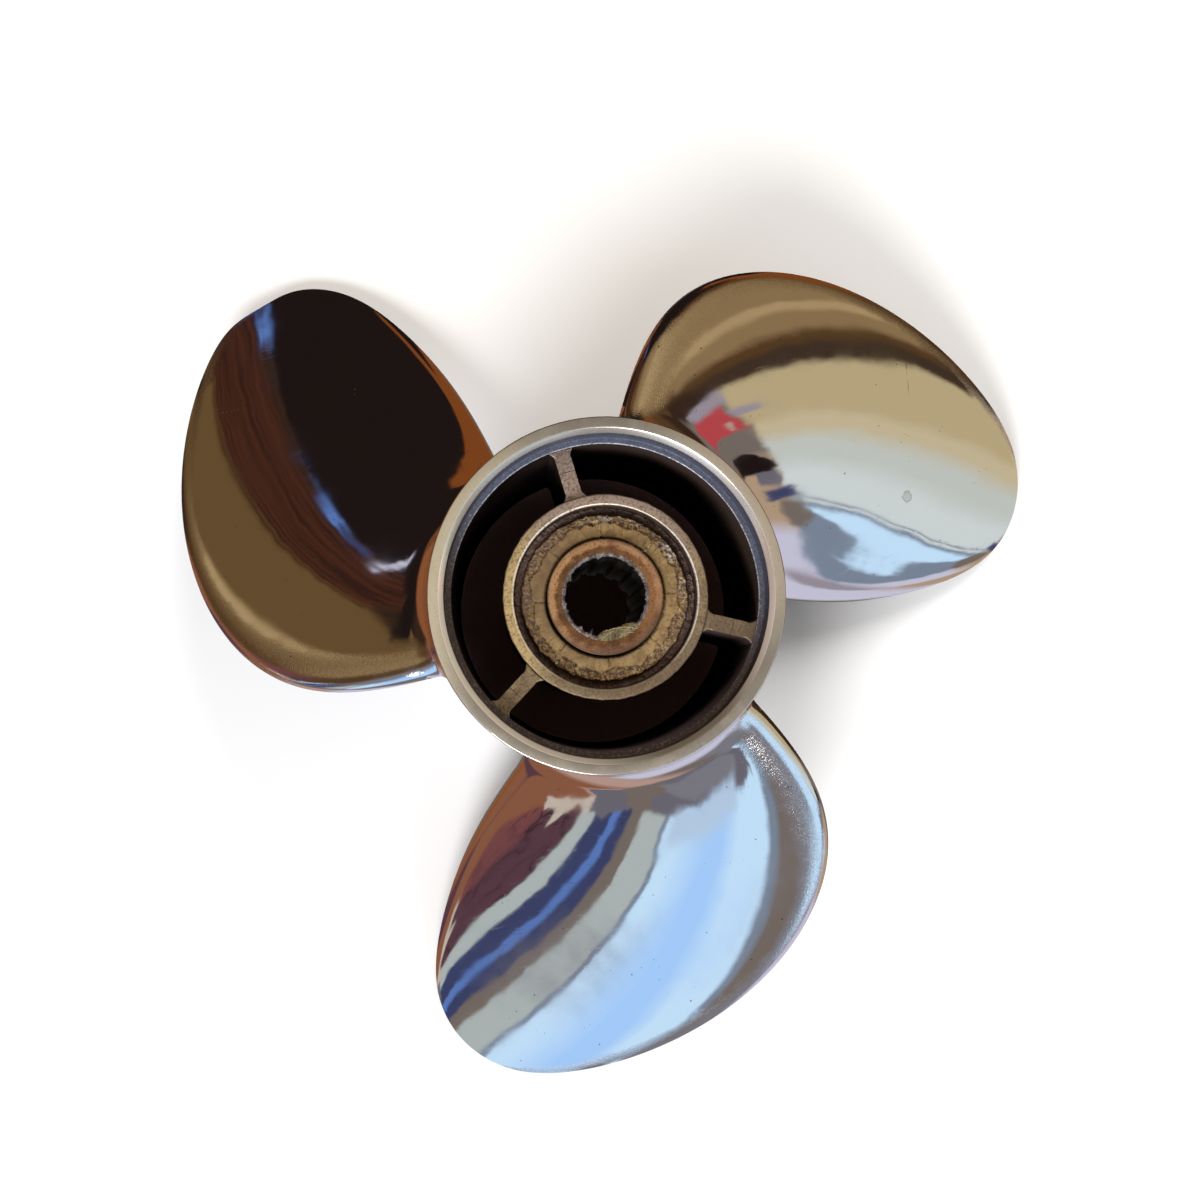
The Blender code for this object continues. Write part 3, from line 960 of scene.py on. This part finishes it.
def skyline(belts, foot, colour, points, soft=0.4):
    """A thing from its foot up to a line through points of (heading, height)."""
    first, last = points[0][0], points[-1][0]
    factor = room.math("DIVIDE", room.math("SUBTRACT", heading, first), last - first)
    line = room.ramp(factor, [
        ((at - first) / (last - first), up / SKYLINE_RANGE + 0.5) for at, up in points
    ])
    line = room.math("MULTIPLY_ADD", line, SKYLINE_RANGE, -SKYLINE_RANGE / 2)
    under = room.step(room.math("SUBTRACT", line, rise), -soft, soft)
    mask = room.math("MULTIPLY", under, room.step(rise, foot - soft, foot + soft))
    mask = room.math("MULTIPLY", mask, room.within(heading, first, last, soft))
    return room.mix(mask, belts, colour)


# %% Stand a few things in the room
THINGS = (
    (skyline, -90, ORANGE, ((44, 1), (60, 1.5), (64, -0.5)), 0.9),
    (panel, (62, 77), (-8, -0.8), ORANGE, 0.8),
    (skyline, -6, SOOT, ((118, 1), (121, 4), (125, 7), (128, 9.5), (132, 11)), 0.8),
    (panel, (141, 146.5), (14, 22.5), LIGHT_GOLD, 2.2),
    (panel, (114, 180), (-70, -17), RUST, 3.0),
    (panel, (106.8, 109.6), (13, 16.6), COBALT, 0.8),
    (panel, (107.7, 109.4), (8.5, 14), NAVY),
    (panel, (102.2, 104.0), (-1.0, 8.2), LAVENDER, 0.3, 0.85),
    (skyline, -4, TERRACOTTA, (
        (178, 0.5), (182, 3), (185, 5.5), (191, 8), (198, 9), (204, 7),
    ), 0.8),
    (skyline, 6, STONE, (
        (191, 6), (193, 9), (196, 8.6), (197.4, 12.4), (199, 10), (201, 7.4), (203, 8),
        (205, 9.9), (207, 8.4), (208.5, 6),
    ), 0.25),
    (skyline, 2, SLATE, ((206, 9), (210, 10.5), (214, 9.4), (217, 10), (220, 7)), 0.5),
    (skyline, 3, TAUPE, ((216, 8), (219, 10.5), (225, 11.5), (230, 9)), 0.6),
    (skyline, 8, SLATE, (
        (224, 11.5), (231, 13.3), (236, 12.4), (241, 12.8), (248, 14), (257, 17),
    ), 0.5),
    (skyline, 5, GREY, ((228, 8), (236, 11), (244, 11.5), (252, 13)), 0.7),
    (panel, (231, 250), (12.5, 17.2), HAZE, 1.3),
    (panel, (244, 318), (-70, -15), LAVENDER, 4.0),
    (skyline, 8, BLUE_GREY, (
        (302, 5), (310, 10), (318, 13), (321, 13), (325, 15.5), (327.5, 16.4), (329.5, 14.5),
        (333, 11),
    ), 0.9),
    (skyline, 6.5, TAUPE, ((327, 9), (331, 12.5), (335, 10.5)), 0.8),
    (panel, (334.6, 337.6), (4, 10.3), NAVY, 0.4, 0.25),
    (panel, (339, 343.6), (3.8, 8.2), SLATE, 0.5),
    (skyline, 0.5, SOOT, ((343, 7), (344.5, 8.8), (347, 8), (349, 6), (349.8, 4))),
    (panel, (350.3, 357), (0.5, 8), TAUPE, 0.5),
    (panel, (356.4, 360.4), (-3, 8.2), RED, 0.4),
    (panel, (-0.4, 5.2), (-3, 7.6), RED, 0.4),
    (panel, (357, 360.4), (5.8, 6.8), PINK, 0.3),
    (panel, (0.1, 3.0), (8, 12), MAUVE, 0.8, -0.5),
    (panel, (4.6, 8.6), (2, 9), MAUVE, 1.0),
)
for paint, *details in THINGS:
    belts = paint(belts, *details)
print(len(THINGS), "things stand in the room")

# %% Streak one colour and vein another
drawn_out = room("ShaderNodeCombineXYZ", heading, room.math("MULTIPLY", rise, 0.06), 0.0)
streaks = room.step(room.noise(drawn_out.outputs[0], 0.9, 2), 0.42, 0.60, 0.0, 0.65)
belts = room.tint(belts, streaks, room.within(heading, 108.5, 122, 0.6), SOOT)
veins = room.math("ABSOLUTE", room.math("SUBTRACT", room.noise(compass.outputs[0], 14, 1), 0.5))
veins = room.step(veins, 0.012, 0.030, 0.7, 0.0)
veins = room.math("MULTIPLY", veins, room.within(heading, 184, 203.5, 0.5))
belts = room.tint(belts, veins, room.within(rise, 9, 24, 1.0), SOOT)

# %% Close the room above and below
OVERHEAD = (0.34, 0.29, 0.22)
FLOOR_BOUNCE = (0.20, 0.17, 0.15)
BACKDROP = (0.9, 0.9, 0.9, 1)
belts = room.mix(room.step(rise, 40.0, 62.0), belts, OVERHEAD)
belts = room.mix(room.step(rise, -30.0, -60.0), belts, FLOOR_BOUNCE)

colours = room("ShaderNodeBackground", belts, 1.0)
backdrop = room("ShaderNodeBackground", BACKDROP, 1.0)
camera_ray = room("ShaderNodeLightPath").outputs["Is Camera Ray"]
shown = room("ShaderNodeMixShader", camera_ray, colours.outputs[0], backdrop.outputs[0])
room("ShaderNodeOutputWorld", shown.outputs[0])
print("room painted with", len(room.tree.nodes), "nodes")


# %% [markdown]
# ## Finishes
#
# A lathe, a polishing wheel and years of exhaust leave different skins on one casting, so
# a piece may carry several materials, each on the faces that its cut made.

# %% Start a material, wear it in, and lay materials on faces
def finish(name, metallic, roughness, colour=(0.5, 0.5, 0.5)):
    made = bpy.data.materials.new(name)
    made.use_nodes = True
    shader = made.node_tree.nodes["Principled BSDF"]
    shader.inputs["Metallic"].default_value = metallic
    shader.inputs["Roughness"].default_value = roughness
    shader.inputs["Base Color"].default_value = (*colour, 1)
    return made, Graph(made.node_tree), shader.inputs


def wear_in(g, skin, tone, normal, roughness=None):
    g.put(skin["Base Color"], tone)
    g.put(skin["Roughness"], roughness)
    g.put(skin["Normal"], normal)


def lay(piece, materials, choose=lambda radius, height, normal: 0):
    """choose gives the number of the material for a face at that radius and height."""
    piece.data.materials.clear()
    for made in materials:
        piece.data.materials.append(made)
    for face in piece.data.polygons:
        radius = sqrt(face.center.x**2 + face.center.y**2)
        face.material_index = choose(radius, face.center.z, face.normal)


# %% [markdown]
# ## Polished steel
#
# The blades were polished by hand on a soft wheel. That leaves three things: gentle waves
# that make every reflection wobble, hair-fine scratches, and a slight haze that comes and
# goes. Sand in the water has hit the leading edge, so a band behind that edge is grainy.
# The blade's mesh carries its distance from the leading edge, which places the band.

# %% Polished steel
STEEL_TONE = (0.68, 0.66, 0.64)

steel, g, skin = finish("polished_steel", 1.0, 0.06, STEEL_TONE)
place = g.place()
haze = g.noise(place, 45, 4, 0.6)
from_edge = g("ShaderNodeAttribute", attribute_name="from_leading_edge").outputs["Fac"]
ragged = g.math("MULTIPLY_ADD", g.noise(place, 130, 3), 0.008, from_edge)
band = g.within(ragged, 0.0065, 0.0155, 0.0035)
sand = g.noise(place, 1900, 2, 0.6)
struck = g.math("MULTIPLY", band, g.step(sand, 0.40, 0.60))
roughness = g.math("ADD", g.step(haze, 0.35, 0.72, 0.03, 0.085), g.math("MULTIPLY", struck, 0.16))
pits = g.step(g.noise(place, 620, 1), 0.775, 0.80)
tone = g.tint(STEEL_TONE, pits, 0.75, (0.16, 0.13, 0.11))
tone = g.tint(tone, struck, 0.25, (0.40, 0.39, 0.40))

# %% A water stain, a hairline and two scuffs
STAIN = (0.1182, 0.0057, 0.0315)
HAIRLINE = (0.1298, 0.0506, 0.0404), (0.1277, 0.0393, 0.0390)
SCUFFS = (
    ((-0.1056, 0.1035, 0.0313), (-0.0985, 0.1026, 0.0322)),
    ((-0.0580, 0.0990, 0.0305), (-0.0591, 0.0957, 0.0327)),
)
uneven = g.noise(place, 700, 3)
from_stain = g.math("MULTIPLY_ADD", uneven, 0.0024, g.from_point(place, STAIN))
tone = g.fleck(tone, from_stain, 0.0034, 0.0028, 0.40, (0.30, 0.31, 0.24))
tone = g.tint(tone, g.within(from_stain, 0.0027, 0.0033, 0.0002), 0.35, (0.16, 0.15, 0.11))
from_hair = g.math("MULTIPLY_ADD", uneven, 0.0012, g.from_line(place, *HAIRLINE))
tone = g.fleck(tone, from_hair, 0.00085, 0.00060, 0.5, (0.18, 0.14, 0.11))
scuffed = None
for ends in SCUFFS:
    off = g.math("MULTIPLY_ADD", g.noise(place, 1500, 3), 0.0020, g.from_line(place, *ends))
    mark = g.step(off, 0.00115, 0.00085)
    scuffed = g.math("MAXIMUM", scuffed, mark) if scuffed else mark
roughness = g.math("MULTIPLY_ADD", scuffed, 0.40, roughness)

# %% Waves, hairs and grain
waves = g.bump(g.noise(place, 55, 1.5), 0.00012)
scratches = g.noise(g.stretch(place, 60, 900, 300), 1.0, 4, 0.7)
hairs = g.bump(g.step(scratches, 0.60, 0.70), 0.0000013, normal=waves)
grained = g.bump(g.math("MULTIPLY", sand, band), 0.000055, normal=hairs)
wear_in(g, skin, tone, grained, roughness)
for blade_piece in blades:
    lay(blade_piece, [steel])

# %% [markdown]
# ## Turned and sooty steel of the barrel
#
# The front face is satin, with faint marks across it and small pits, and two sides of it are
# painted lighter as a painted sheen. The chamfer behind it carries painted highlights, the
# counterbore is grey with pale specks on one side and near black on the other, and the bore
# is black with soot, with a painted shade deep down and painted light on two sides.

# %% Barrel's polished outside
outside, g, skin = finish("polished_outside", 1.0, 0.07, STEEL_TONE)
haze = g.noise(g.place(), 60, 4, 0.6)
g.put(skin["Roughness"], g.step(haze, 0.35, 0.72, 0.04, 0.11))
g.put(skin["Normal"], g.bump(g.noise(g.place(), 70, 2), 0.00008))

# %% Satin face of the rim
satin, g, skin = finish("satin_steel", 0.75, 0.52)
place = g.place()
radius, turn = g.polar()
along_rim = g("ShaderNodeCombineXYZ", turn, radius, 0.0).outputs[0]
marks = g.noise(g.stretch(along_rim, 420, 420, 1), 1.0, 3, 0.65)
blotches = g.noise(place, 140, 4, 0.6)
# Two sides of the ring are painted lighter: a painted sheen.
tone = g.mix(g.facing(165, 0.5, 1.0), (0.262, 0.232, 0.192), (0.56, 0.49, 0.36))
tone = g.mix(g.facing(30, 0.6, 1.0), tone, (0.50, 0.43, 0.34))
tone = g.fleck(tone, blotches, 0.45, 0.75, 0.35, (0.46, 0.42, 0.33))
tone = g.fleck(tone, marks, 0.56, 0.78, 0.5, (0.17, 0.13, 0.09))
pits = g.step(g.noise(place, 1200, 2), 0.69, 0.75)
tone = g.tint(tone, pits, 0.6, (0.10, 0.08, 0.065))
wear_in(g, skin, tone, g.bump(marks, 0.00003), g.step(marks, 0.3, 0.7, 0.44, 0.58))

# %% Chamfer, with painted highlights, and smoother on one side
bright, g, skin = finish("cut_edge", 0.75, 0.3)
side_mask = g.facing(95, -0.25, 0.25)
# The tone is painted lighter towards three sides: painted highlights on the chamfer.
tone = g.mix(g.facing(215, 0.2, 0.8), (0.34, 0.29, 0.22), (0.95, 0.88, 0.76))
tone = g.mix(g.facing(30, 0.2, 0.8), tone, (0.85, 0.78, 0.70))
tone = g.mix(g.facing(115, 0.5, 0.95), tone, (0.50, 0.45, 0.38))
turned_marks = g.bump(g.noise(g.place(), 900, 3), 0.00002)
wear_in(g, skin, tone, turned_marks, g.math("MULTIPLY_ADD", side_mask, -0.26, 0.5))

# %% Grey counterbore
slate, g, skin = finish("grey_counterbore", 0.4, 0.5)
place = g.place()
radius, _ = g.polar()
speck = g.noise(place, 1600, 3, 0.7)
# The counterbore is grey with pale specks on one side and near black on the other.
side_mask = g.facing(75, -0.25, 0.55)
tone = g.mix(g.step(speck, 0.35, 0.62), (0.062, 0.066, 0.095), (0.125, 0.135, 0.190))
tone = g.fleck(tone, speck, 0.66, 0.74, 1.0, (0.50, 0.52, 0.60))
dark_side_tone = g.mix(g.step(speck, 0.50, 0.75), (0.052, 0.037, 0.031), (0.20, 0.152, 0.124))
tone = g.mix(side_mask, dark_side_tone, tone)
# A thin light line on the ledge's inner edge, on the grey side only, is a painted highlight.
painted_edge_highlight = g.within(radius, BARREL_BORE - 0.0001, BARREL_BORE + 0.0003, 0.0001)
painted_edge_highlight = g.math("MULTIPLY", painted_edge_highlight, side_mask)
tone = g.tint(tone, painted_edge_highlight, g.step(speck, 0.4, 0.6, 0.2, 0.9), (0.55, 0.54, 0.56))
wear_in(g, skin, tone, g.bump(speck, 0.00005), g.step(speck, 0.3, 0.7, 0.6, 0.38))

# %% Soot, with a painted shade deep down and painted light on two sides
soot_and_painted_light, g, skin = finish("soot_and_painted_light", 0.0, 0.9)
place = g.place()
_, _, height = g("ShaderNodeSeparateXYZ", place).outputs
cloud = g.noise(place, 70, 4, 0.65)
tone = g.mix(g.step(cloud, 0.40, 0.75), (0.0090, 0.0055, 0.0045), (0.0260, 0.0160, 0.0130))
# Two sides are painted lighter: painted light where the lamps don't reach into the passages.
tone = g.mix(g.facing(45, 0.0, 1.0), tone, (0.045, 0.029, 0.023))
tone = g.mix(g.facing(305, 0.4, 1.0), tone, (0.070, 0.046, 0.050))
# Deep down the tone is a painted shade, darker towards the bottom of the passages.
tone = g.mix(g.step(height, FRONT - 0.020, FRONT - 0.050), tone, (0.0120, 0.0085, 0.0075))
g.put(skin["Specular IOR Level"], 0.0)
wear_in(g, skin, tone, g.bump(g.noise(place, 900, 4), 0.0002))


def barrel_zone(radius, height, normal):
    if height > FRONT - 0.00005 and COUNTERBORE + RIM_CHAMFER < radius < HUB_RADIUS - 0.0003:
        return 1
    if radius > HUB_RADIUS - 0.0020:
        return 0
    if height > FRONT - RIM_CHAMFER - 0.0003:
        return 2
    if height > LEDGE - 0.0006:
        return 3
    return 4


lay(outer_hub, [outside, satin, bright, slate, soot_and_painted_light], barrel_zone)

# %% [markdown]
# ## Stained cast steel
#
# The tube's face and the ribs' fronts were cut too, but salt and exhaust have stained them
# tan, with darker and lighter specks. Their sides were never cleaned.

# %% Stained steel
stained, g, skin = finish("stained_steel", 0.55, 0.45)
place = g.place()
radius, _ = g.polar()
speck = g.noise(place, 1300, 4, 0.75)
patch = g.noise(place, 230, 3, 0.6)
tone = g.mix(g.step(patch, 0.35, 0.7), (0.225, 0.155, 0.090), (0.33, 0.245, 0.140))
tone = g.mix(g.facing(95, 0.1, 1.0), tone, (0.33, 0.245, 0.200))
golden = g.math("MULTIPLY", g.facing(185, 0.4, 1.0), g.step(radius, 0.034, 0.031))
tone = g.tint(tone, golden, 0.8, (0.54, 0.39, 0.175))
tone = g.tint(tone, g.facing(290, 0.2, 0.95), 0.65, (0.13, 0.090, 0.056))
on_rib = g.step(radius, TUBE_OUTER, TUBE_OUTER + 0.003)
dull_rib = g.step(g.facing(345), 0.95, 1.0, 0.0, 0.6)
tone = g.tint(tone, on_rib, dull_rib, (0.13, 0.092, 0.060))
tone = g.fleck(tone, speck, 0.52, 0.40, 0.7, (0.085, 0.055, 0.032))
tone = g.fleck(tone, speck, 0.62, 0.74, 0.75, (0.58, 0.49, 0.34))
cut_line = g.within(radius, RIB_STEP_PLACE - 0.00012, RIB_STEP_PLACE + 0.00012, 0.0001)
tone = g.tint(tone, cut_line, 0.85, (0.045, 0.03, 0.02))
uneven = g.math("MULTIPLY_ADD", speck, 0.001, radius)
worn_edge = g.step(uneven, TUBE_OUTER - 0.0002, TUBE_OUTER + 0.0003)
on_tube = g.step(radius, TUBE_OUTER + 0.0004, TUBE_OUTER + 0.0001)
worn_edge = g.math("MULTIPLY", worn_edge, on_tube)
tone = g.tint(tone, worn_edge, 0.8, (0.12, 0.085, 0.045))
wear_in(g, skin, tone, g.bump(speck, 0.00008), g.step(speck, 0.3, 0.7, 0.6, 0.36))

# %% Edge of the tube's bore, with painted highlights on two sides
lip, g, skin = finish("tube_edge", 0.8, 0.42)
speck = g.noise(g.place(), 1300, 3, 0.7)
# Two sides are painted near white: painted highlights on the edge.
tone = g.mix(g.facing(160, 0.0, 0.8), (0.32, 0.27, 0.20), (1.0, 0.86, 0.68))
tone = g.mix(g.facing(0, 0.6, 1.0), tone, (0.95, 0.88, 0.80))
tone = g.fleck(tone, speck, 0.5, 0.35, 0.7, (0.16, 0.12, 0.10))
wear_in(g, skin, tone, g.bump(speck, 0.00004))

# %% Brown wall of the tube's bore
rust_wall, g, skin = finish("brown_wall", 0.2, 0.6)
cloud = g.noise(g.place(), 260, 4, 0.7)
tone = g.mix(g.step(cloud, 0.4, 0.65), (0.028, 0.016, 0.013), (0.090, 0.050, 0.037))
wear_in(g, skin, tone, g.bump(cloud, 0.0002))


def tube_zone(radius, height, normal):
    if height > TUBE_FRONT - 0.0004 and radius > TUBE_BORE + 0.0006:
        return 0
    if height > TUBE_FRONT - 0.0008 and radius < TUBE_BORE + 0.0008:
        return 1
    return 2 if radius < TUBE_OUTER - 0.001 else 3


lay(inner_hub, [stained, lip, rust_wall, soot_and_painted_light], tube_zone)
for number in range(RIB_COUNT):
    rib = bpy.data.objects[f"rib_{number + 1}_cast"]
    lay(rib, [stained, soot_and_painted_light], lambda radius, height, normal: 0 if normal.z > 0.5 else 1)

# %% [markdown]
# ## Rubber
#
# The rubber has dried to the colour of old tallow where it is smooth. Where it crumbles it
# is a mix of yellow, grey and dark brown, and everything low is darker. One side of it is
# painted darker, a painted shade.

# %% Dried rubber
rubber, g, skin = finish("bushing_rubber", 0.0, 0.65)
place = g.place()
radius, turn = g.polar()
_, _, height = g("ShaderNodeSeparateXYZ", place).outputs
depth = g.math("SUBTRACT", BUSHING_FRONT, height)
fine = g.noise(place, 1000, 4, 0.7)
patch = g.noise(place, 300, 3, 0.6)
lumps = g.noise(place, 130, 2, 0.5)
along_ring = g("ShaderNodeCombineXYZ", turn, radius, 0.0).outputs[0]
fibres = g.noise(g.stretch(along_ring, 160, 300, 1), 1.0, 3)
smooth_tone = g.mix(g.step(patch, 0.3, 0.7), (0.155, 0.090, 0.033), (0.255, 0.165, 0.066))
smooth_tone = g.fleck(smooth_tone, fibres, 0.50, 0.8, 0.8, (0.080, 0.042, 0.016))
smooth_tone = g.fleck(smooth_tone, fine, 0.46, 0.36, 0.6, (0.070, 0.036, 0.014))
crumb_tone = g.mix(g.step(patch, 0.42, 0.62), (0.22, 0.130, 0.045), (0.33, 0.225, 0.105))
grey_lumps = g.math("MULTIPLY", g.facing(75, 0.1, 0.9), g.step(lumps, 0.5, 0.62))
crumb_tone = g.tint(crumb_tone, grey_lumps, 0.6, (0.52, 0.46, 0.40))
crumb_tone = g.fleck(crumb_tone, fine, 0.52, 0.42, 1.0, (0.055, 0.030, 0.015))
crumb_tone = g.fleck(crumb_tone, fine, 0.64, 0.72, 0.85, (0.62, 0.47, 0.23))
tone = g.mix(g.step(depth, 0.00005, 0.0005), smooth_tone, crumb_tone)
# One side is painted darker: a painted shade.
tone = g.tint(tone, g.facing(160, 0.4, 1.0), 0.6, (0.085, 0.048, 0.020))
# Everything low is darker.
tone = g.fleck(tone, depth, 0.0006, 0.0016, 1.0, (0.085, 0.048, 0.033))
wear_in(g, skin, tone, g.bump(fine, 0.00012), g.step(fine, 0.3, 0.7, 0.8, 0.5))
lay(rubber_bushing, [rubber])

# %% [markdown]
# ## Bronze
#
# The sleeve's front was turned, which leaves rings, and rust from the shaft has coloured it
# orange. The bore is dark with old grease.

# %% Bronze
bronze, g, skin = finish("bronze", 0.6, 0.5)
place = g.place()
radius, turn = g.polar()
along_rings = g("ShaderNodeCombineXYZ", radius, g.math("MULTIPLY", turn, 0.0006), 0.0)
rings = g.noise(along_rings.outputs[0], 3600, 2, 0.7)
patch = g.noise(place, 210, 3, 0.6)
fine = g.noise(place, 1400, 3, 0.7)
inner_tone = g.mix(g.step(patch, 0.35, 0.65), (0.100, 0.040, 0.013), (0.165, 0.073, 0.023))
inner_tone = g.tint(inner_tone, g.facing(0, 0.5, 1.0), 0.8, (0.29, 0.130, 0.050))
outer_tone = g.mix(g.step(patch, 0.35, 0.65), (0.22, 0.100, 0.048), (0.36, 0.195, 0.095))
wander = g.math("MULTIPLY_ADD", g.noise(place, 420, 2), 0.002, radius)
outer_ring = g.step(wander, 0.0160, 0.0172)
tone = g.mix(outer_ring, inner_tone, outer_tone)
# The outer ring is painted lighter towards two sides and darker towards a third: painted highlights
# and a painted shade.
for angle, low, high, share, colour in (
    (150, 0.4, 1.0, 0.6, (0.50, 0.29, 0.125)),
    (25, 0.6, 1.0, 0.5, (0.44, 0.23, 0.12)),
    (293, 0.2, 0.9, 0.65, (0.085, 0.040, 0.024)),
):
    side = g.math("MULTIPLY", g.facing(angle, low, high), share)
    tone = g.tint(tone, outer_ring, side, colour)
tone = g.fleck(tone, rings, 0.52, 0.75, 0.6, (0.085, 0.032, 0.016))
tone = g.fleck(tone, fine, 0.60, 0.72, 0.6, (0.50, 0.33, 0.19))
tone = g.fleck(tone, fine, 0.44, 0.34, 0.8, (0.055, 0.022, 0.012))
# The sleeve's outer edge, next to the rubber, is darker.
dark_outer_edge = g.step(g.math("MULTIPLY_ADD", fine, 0.0016, radius), SLEEVE_OUTER, SLEEVE_OUTER + 0.0008)
tone = g.tint(tone, dark_outer_edge, 0.9, (0.045, 0.030, 0.018))
tool_marks = g.bump(rings, 0.00006, normal=g.bump(fine, 0.00006))
wear_in(g, skin, tone, tool_marks, g.step(fine, 0.3, 0.7, 0.6, 0.42))

# %% Greasy bore
greasy, g, skin = finish("greasy_bore", 0.0, 0.75)
g.put(skin["Specular IOR Level"], 0.08)
cloud = g.noise(g.place(), 330, 4, 0.7)
tone = g.mix(g.step(cloud, 0.50, 0.72), (0.006, 0.004, 0.003), (0.055, 0.034, 0.016))
tone = g.mix(g.facing(20, -0.2, 0.8), (0.005, 0.004, 0.003), tone)
wear_in(g, skin, tone, g.bump(cloud, 0.0003))
lay(
    splined_sleeve, [bronze, greasy],
    lambda radius, height, normal: 0 if height > SLEEVE_FRONT - 0.0004 else 1,
)

# %% Crust and grease at the mouth
crusty, g, skin = finish("mouth_crust", 0.0, 0.7)
place = g.place()
fine = g.noise(place, 1500, 4, 0.75)
patch = g.noise(place, 420, 3, 0.6)
grey_tone = g.mix(g.step(patch, 0.35, 0.65), (0.060, 0.045, 0.040), (0.20, 0.175, 0.170))
olive_tone = g.mix(g.step(patch, 0.35, 0.65), (0.075, 0.055, 0.022), (0.17, 0.135, 0.060))
tone = g.mix(g.facing(289, 0.78, 0.93), grey_tone, olive_tone)
tone = g.fleck(tone, fine, 0.50, 0.38, 0.9, (0.018, 0.011, 0.007))
tone = g.fleck(tone, fine, 0.63, 0.73, 0.8, (0.42, 0.38, 0.31))
wear_in(g, skin, tone, g.bump(fine, 0.0001), g.step(fine, 0.3, 0.7, 0.8, 0.45))
lay(mouth_crust, [crusty])

# %% Pale threads
threads_skin, g, skin = finish("pale_threads", 0.0, 0.6)
g.put(skin["Base Color"], g.mix(g.noise(g.place(), 900, 2), (0.20, 0.16, 0.08), (0.50, 0.44, 0.30)))
for thread in threads:
    lay(thread, [threads_skin])

# %% [markdown]
# ## Pale floor
#
# The floor inside the hub is painted darker, a painted shade that keeps the view down the
# passages dark.
# Far out the floor glows softly, so that it fades into the backdrop without a horizon.

# %% Pale floor
FADE = 0.35, 1.8

pale, g, skin = finish("pale_floor", 0.0, 0.9)
radius, _ = g.polar()
# Inside the hub the floor's colour is a painted shade.
painted_shade_under_hub = g.step(radius, HUB_RADIUS, HUB_RADIUS + 0.0035)
g.put(skin["Base Color"], g.mix(painted_shade_under_hub, (0.42, 0.27, 0.27), (0.86, 0.86, 0.86)))
g.put(skin["Emission Color"], BACKDROP)
g.put(skin["Emission Strength"], g.step(radius, *FADE, 0.0, 0.8))
floor.data.materials.append(pale)

# %% Set the view transform
bpy.context.scene.view_settings.view_transform = "Standard"
bpy.context.view_layer.update()
